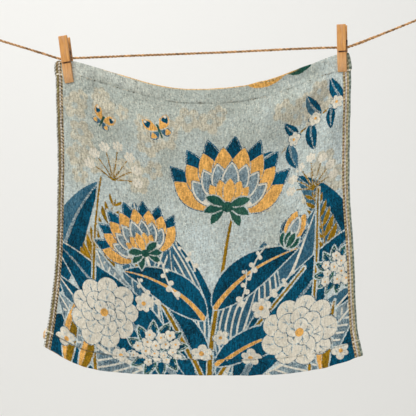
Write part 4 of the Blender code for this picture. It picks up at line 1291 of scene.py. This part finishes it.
# Spring wire: drawn steel gone dark brown, with a dull shine along its top.
spring_steel, tree = new_material("dark_spring_steel")
stain = add(tree, "TexNoise", add(tree, "TexCoord", out="Object"), 900.0, 3.0)
add(tree, "OutputMaterial", add(tree, "BsdfPrincipled", {
    "Base Color": add(tree, "Mix", stain, "#4E362A", "#735845", data_type="RGBA"), "Metallic": 0.9,
    "Roughness": add(tree, "MapRange", stain, 0.0, 1.0, 0.32, 0.55)}))


def rounded(points, radius, steps):
    """The path through `points` with each corner turned on a curve of about `radius`."""
    path = [points[0]]
    for before, corner, after in zip(points, points[1:], points[2:]):
        start = corner + (before - corner).normalized() * radius
        end = corner + (after - corner).normalized() * radius
        for share in (step / steps for step in range(steps + 1)):
            path.append(start.lerp(corner, share).lerp(corner.lerp(end, share), share))
    return path + [points[-1]]


def spring_path():
    """The wire from the end of the back arm, round the coil, to the end of the front arm."""
    depth = JAW_INNER + LEG_THICK + WIRE_PROUD
    side = PEG_WIDE / 2.0 + GAP + WIRE / 2.0
    reach = math.hypot(depth, COIL_HEIGHT + GROOVE_DROP)
    leave = math.atan2(depth, -(COIL_HEIGHT + GROOVE_DROP)) - math.acos(COIL_RADIUS / reach)
    steps = 26 * COIL_TURNS + 10
    front_arm = [Vector((side, -depth, -GROOVE_DROP)),
                 Vector((-PEG_WIDE / 2.0 + ARM_SHORT, -depth, -GROOVE_DROP))]
    back_arm = [Vector((-point.x, -point.y, point.z)) for point in reversed(front_arm)]
    coil = []
    for step, turn in enumerate(np.linspace(-leave, leave + 2.0 * math.pi * COIL_TURNS, steps + 1)):
        coil.append(Vector((side * (2.0 * step / steps - 1.0), -COIL_RADIUS * math.sin(turn),
                            COIL_HEIGHT + COIL_RADIUS * math.cos(turn))))
    return rounded(back_arm + [coil[0]], WIRE, 6) + coil[1:-1] + rounded([coil[-1]] + front_arm, WIRE, 6)


for peg in PEGS:
    stand = (Matrix.Translation(peg.notch) @ Matrix.Rotation(math.radians(peg.yaw), 4, "Z")
             @ Matrix.Rotation(math.radians(peg.lean), 4, "Y"))
    for side, word, handle in ((-1.0, "front", FRONT_HANDLE), (1.0, "back", peg.back_handle)):
        leg = new_piece("%s_leg_%s" % (peg.name, word), *leg_mesh(side, handle), birch)
        leg.matrix_world = stand
        ease_edges = leg.modifiers.new("rounded_edges", "BEVEL")
        ease_edges.width = EDGE_ROUND
        ease_edges.segments = 3
        ease_edges.limit_method = "ANGLE"
        ease_edges.angle_limit = math.radians(35.0)
        leg.data.set_sharp_from_angle(angle=math.radians(50.0))
        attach(leg, "root")
        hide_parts("%s_%s" % (peg.name, word))
    wire = new_piece(peg.name + "_wire", *tube([tuple(point) for point in spring_path()], WIRE / 2.0, 12),
                     spring_steel)
    wire.matrix_world = stand
    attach(wire, "root")
    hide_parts(peg.name + "_spring")


low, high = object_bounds()
{"cad": [list(cad_low), list(cad_high)], "visual": [list(low), list(high)]}
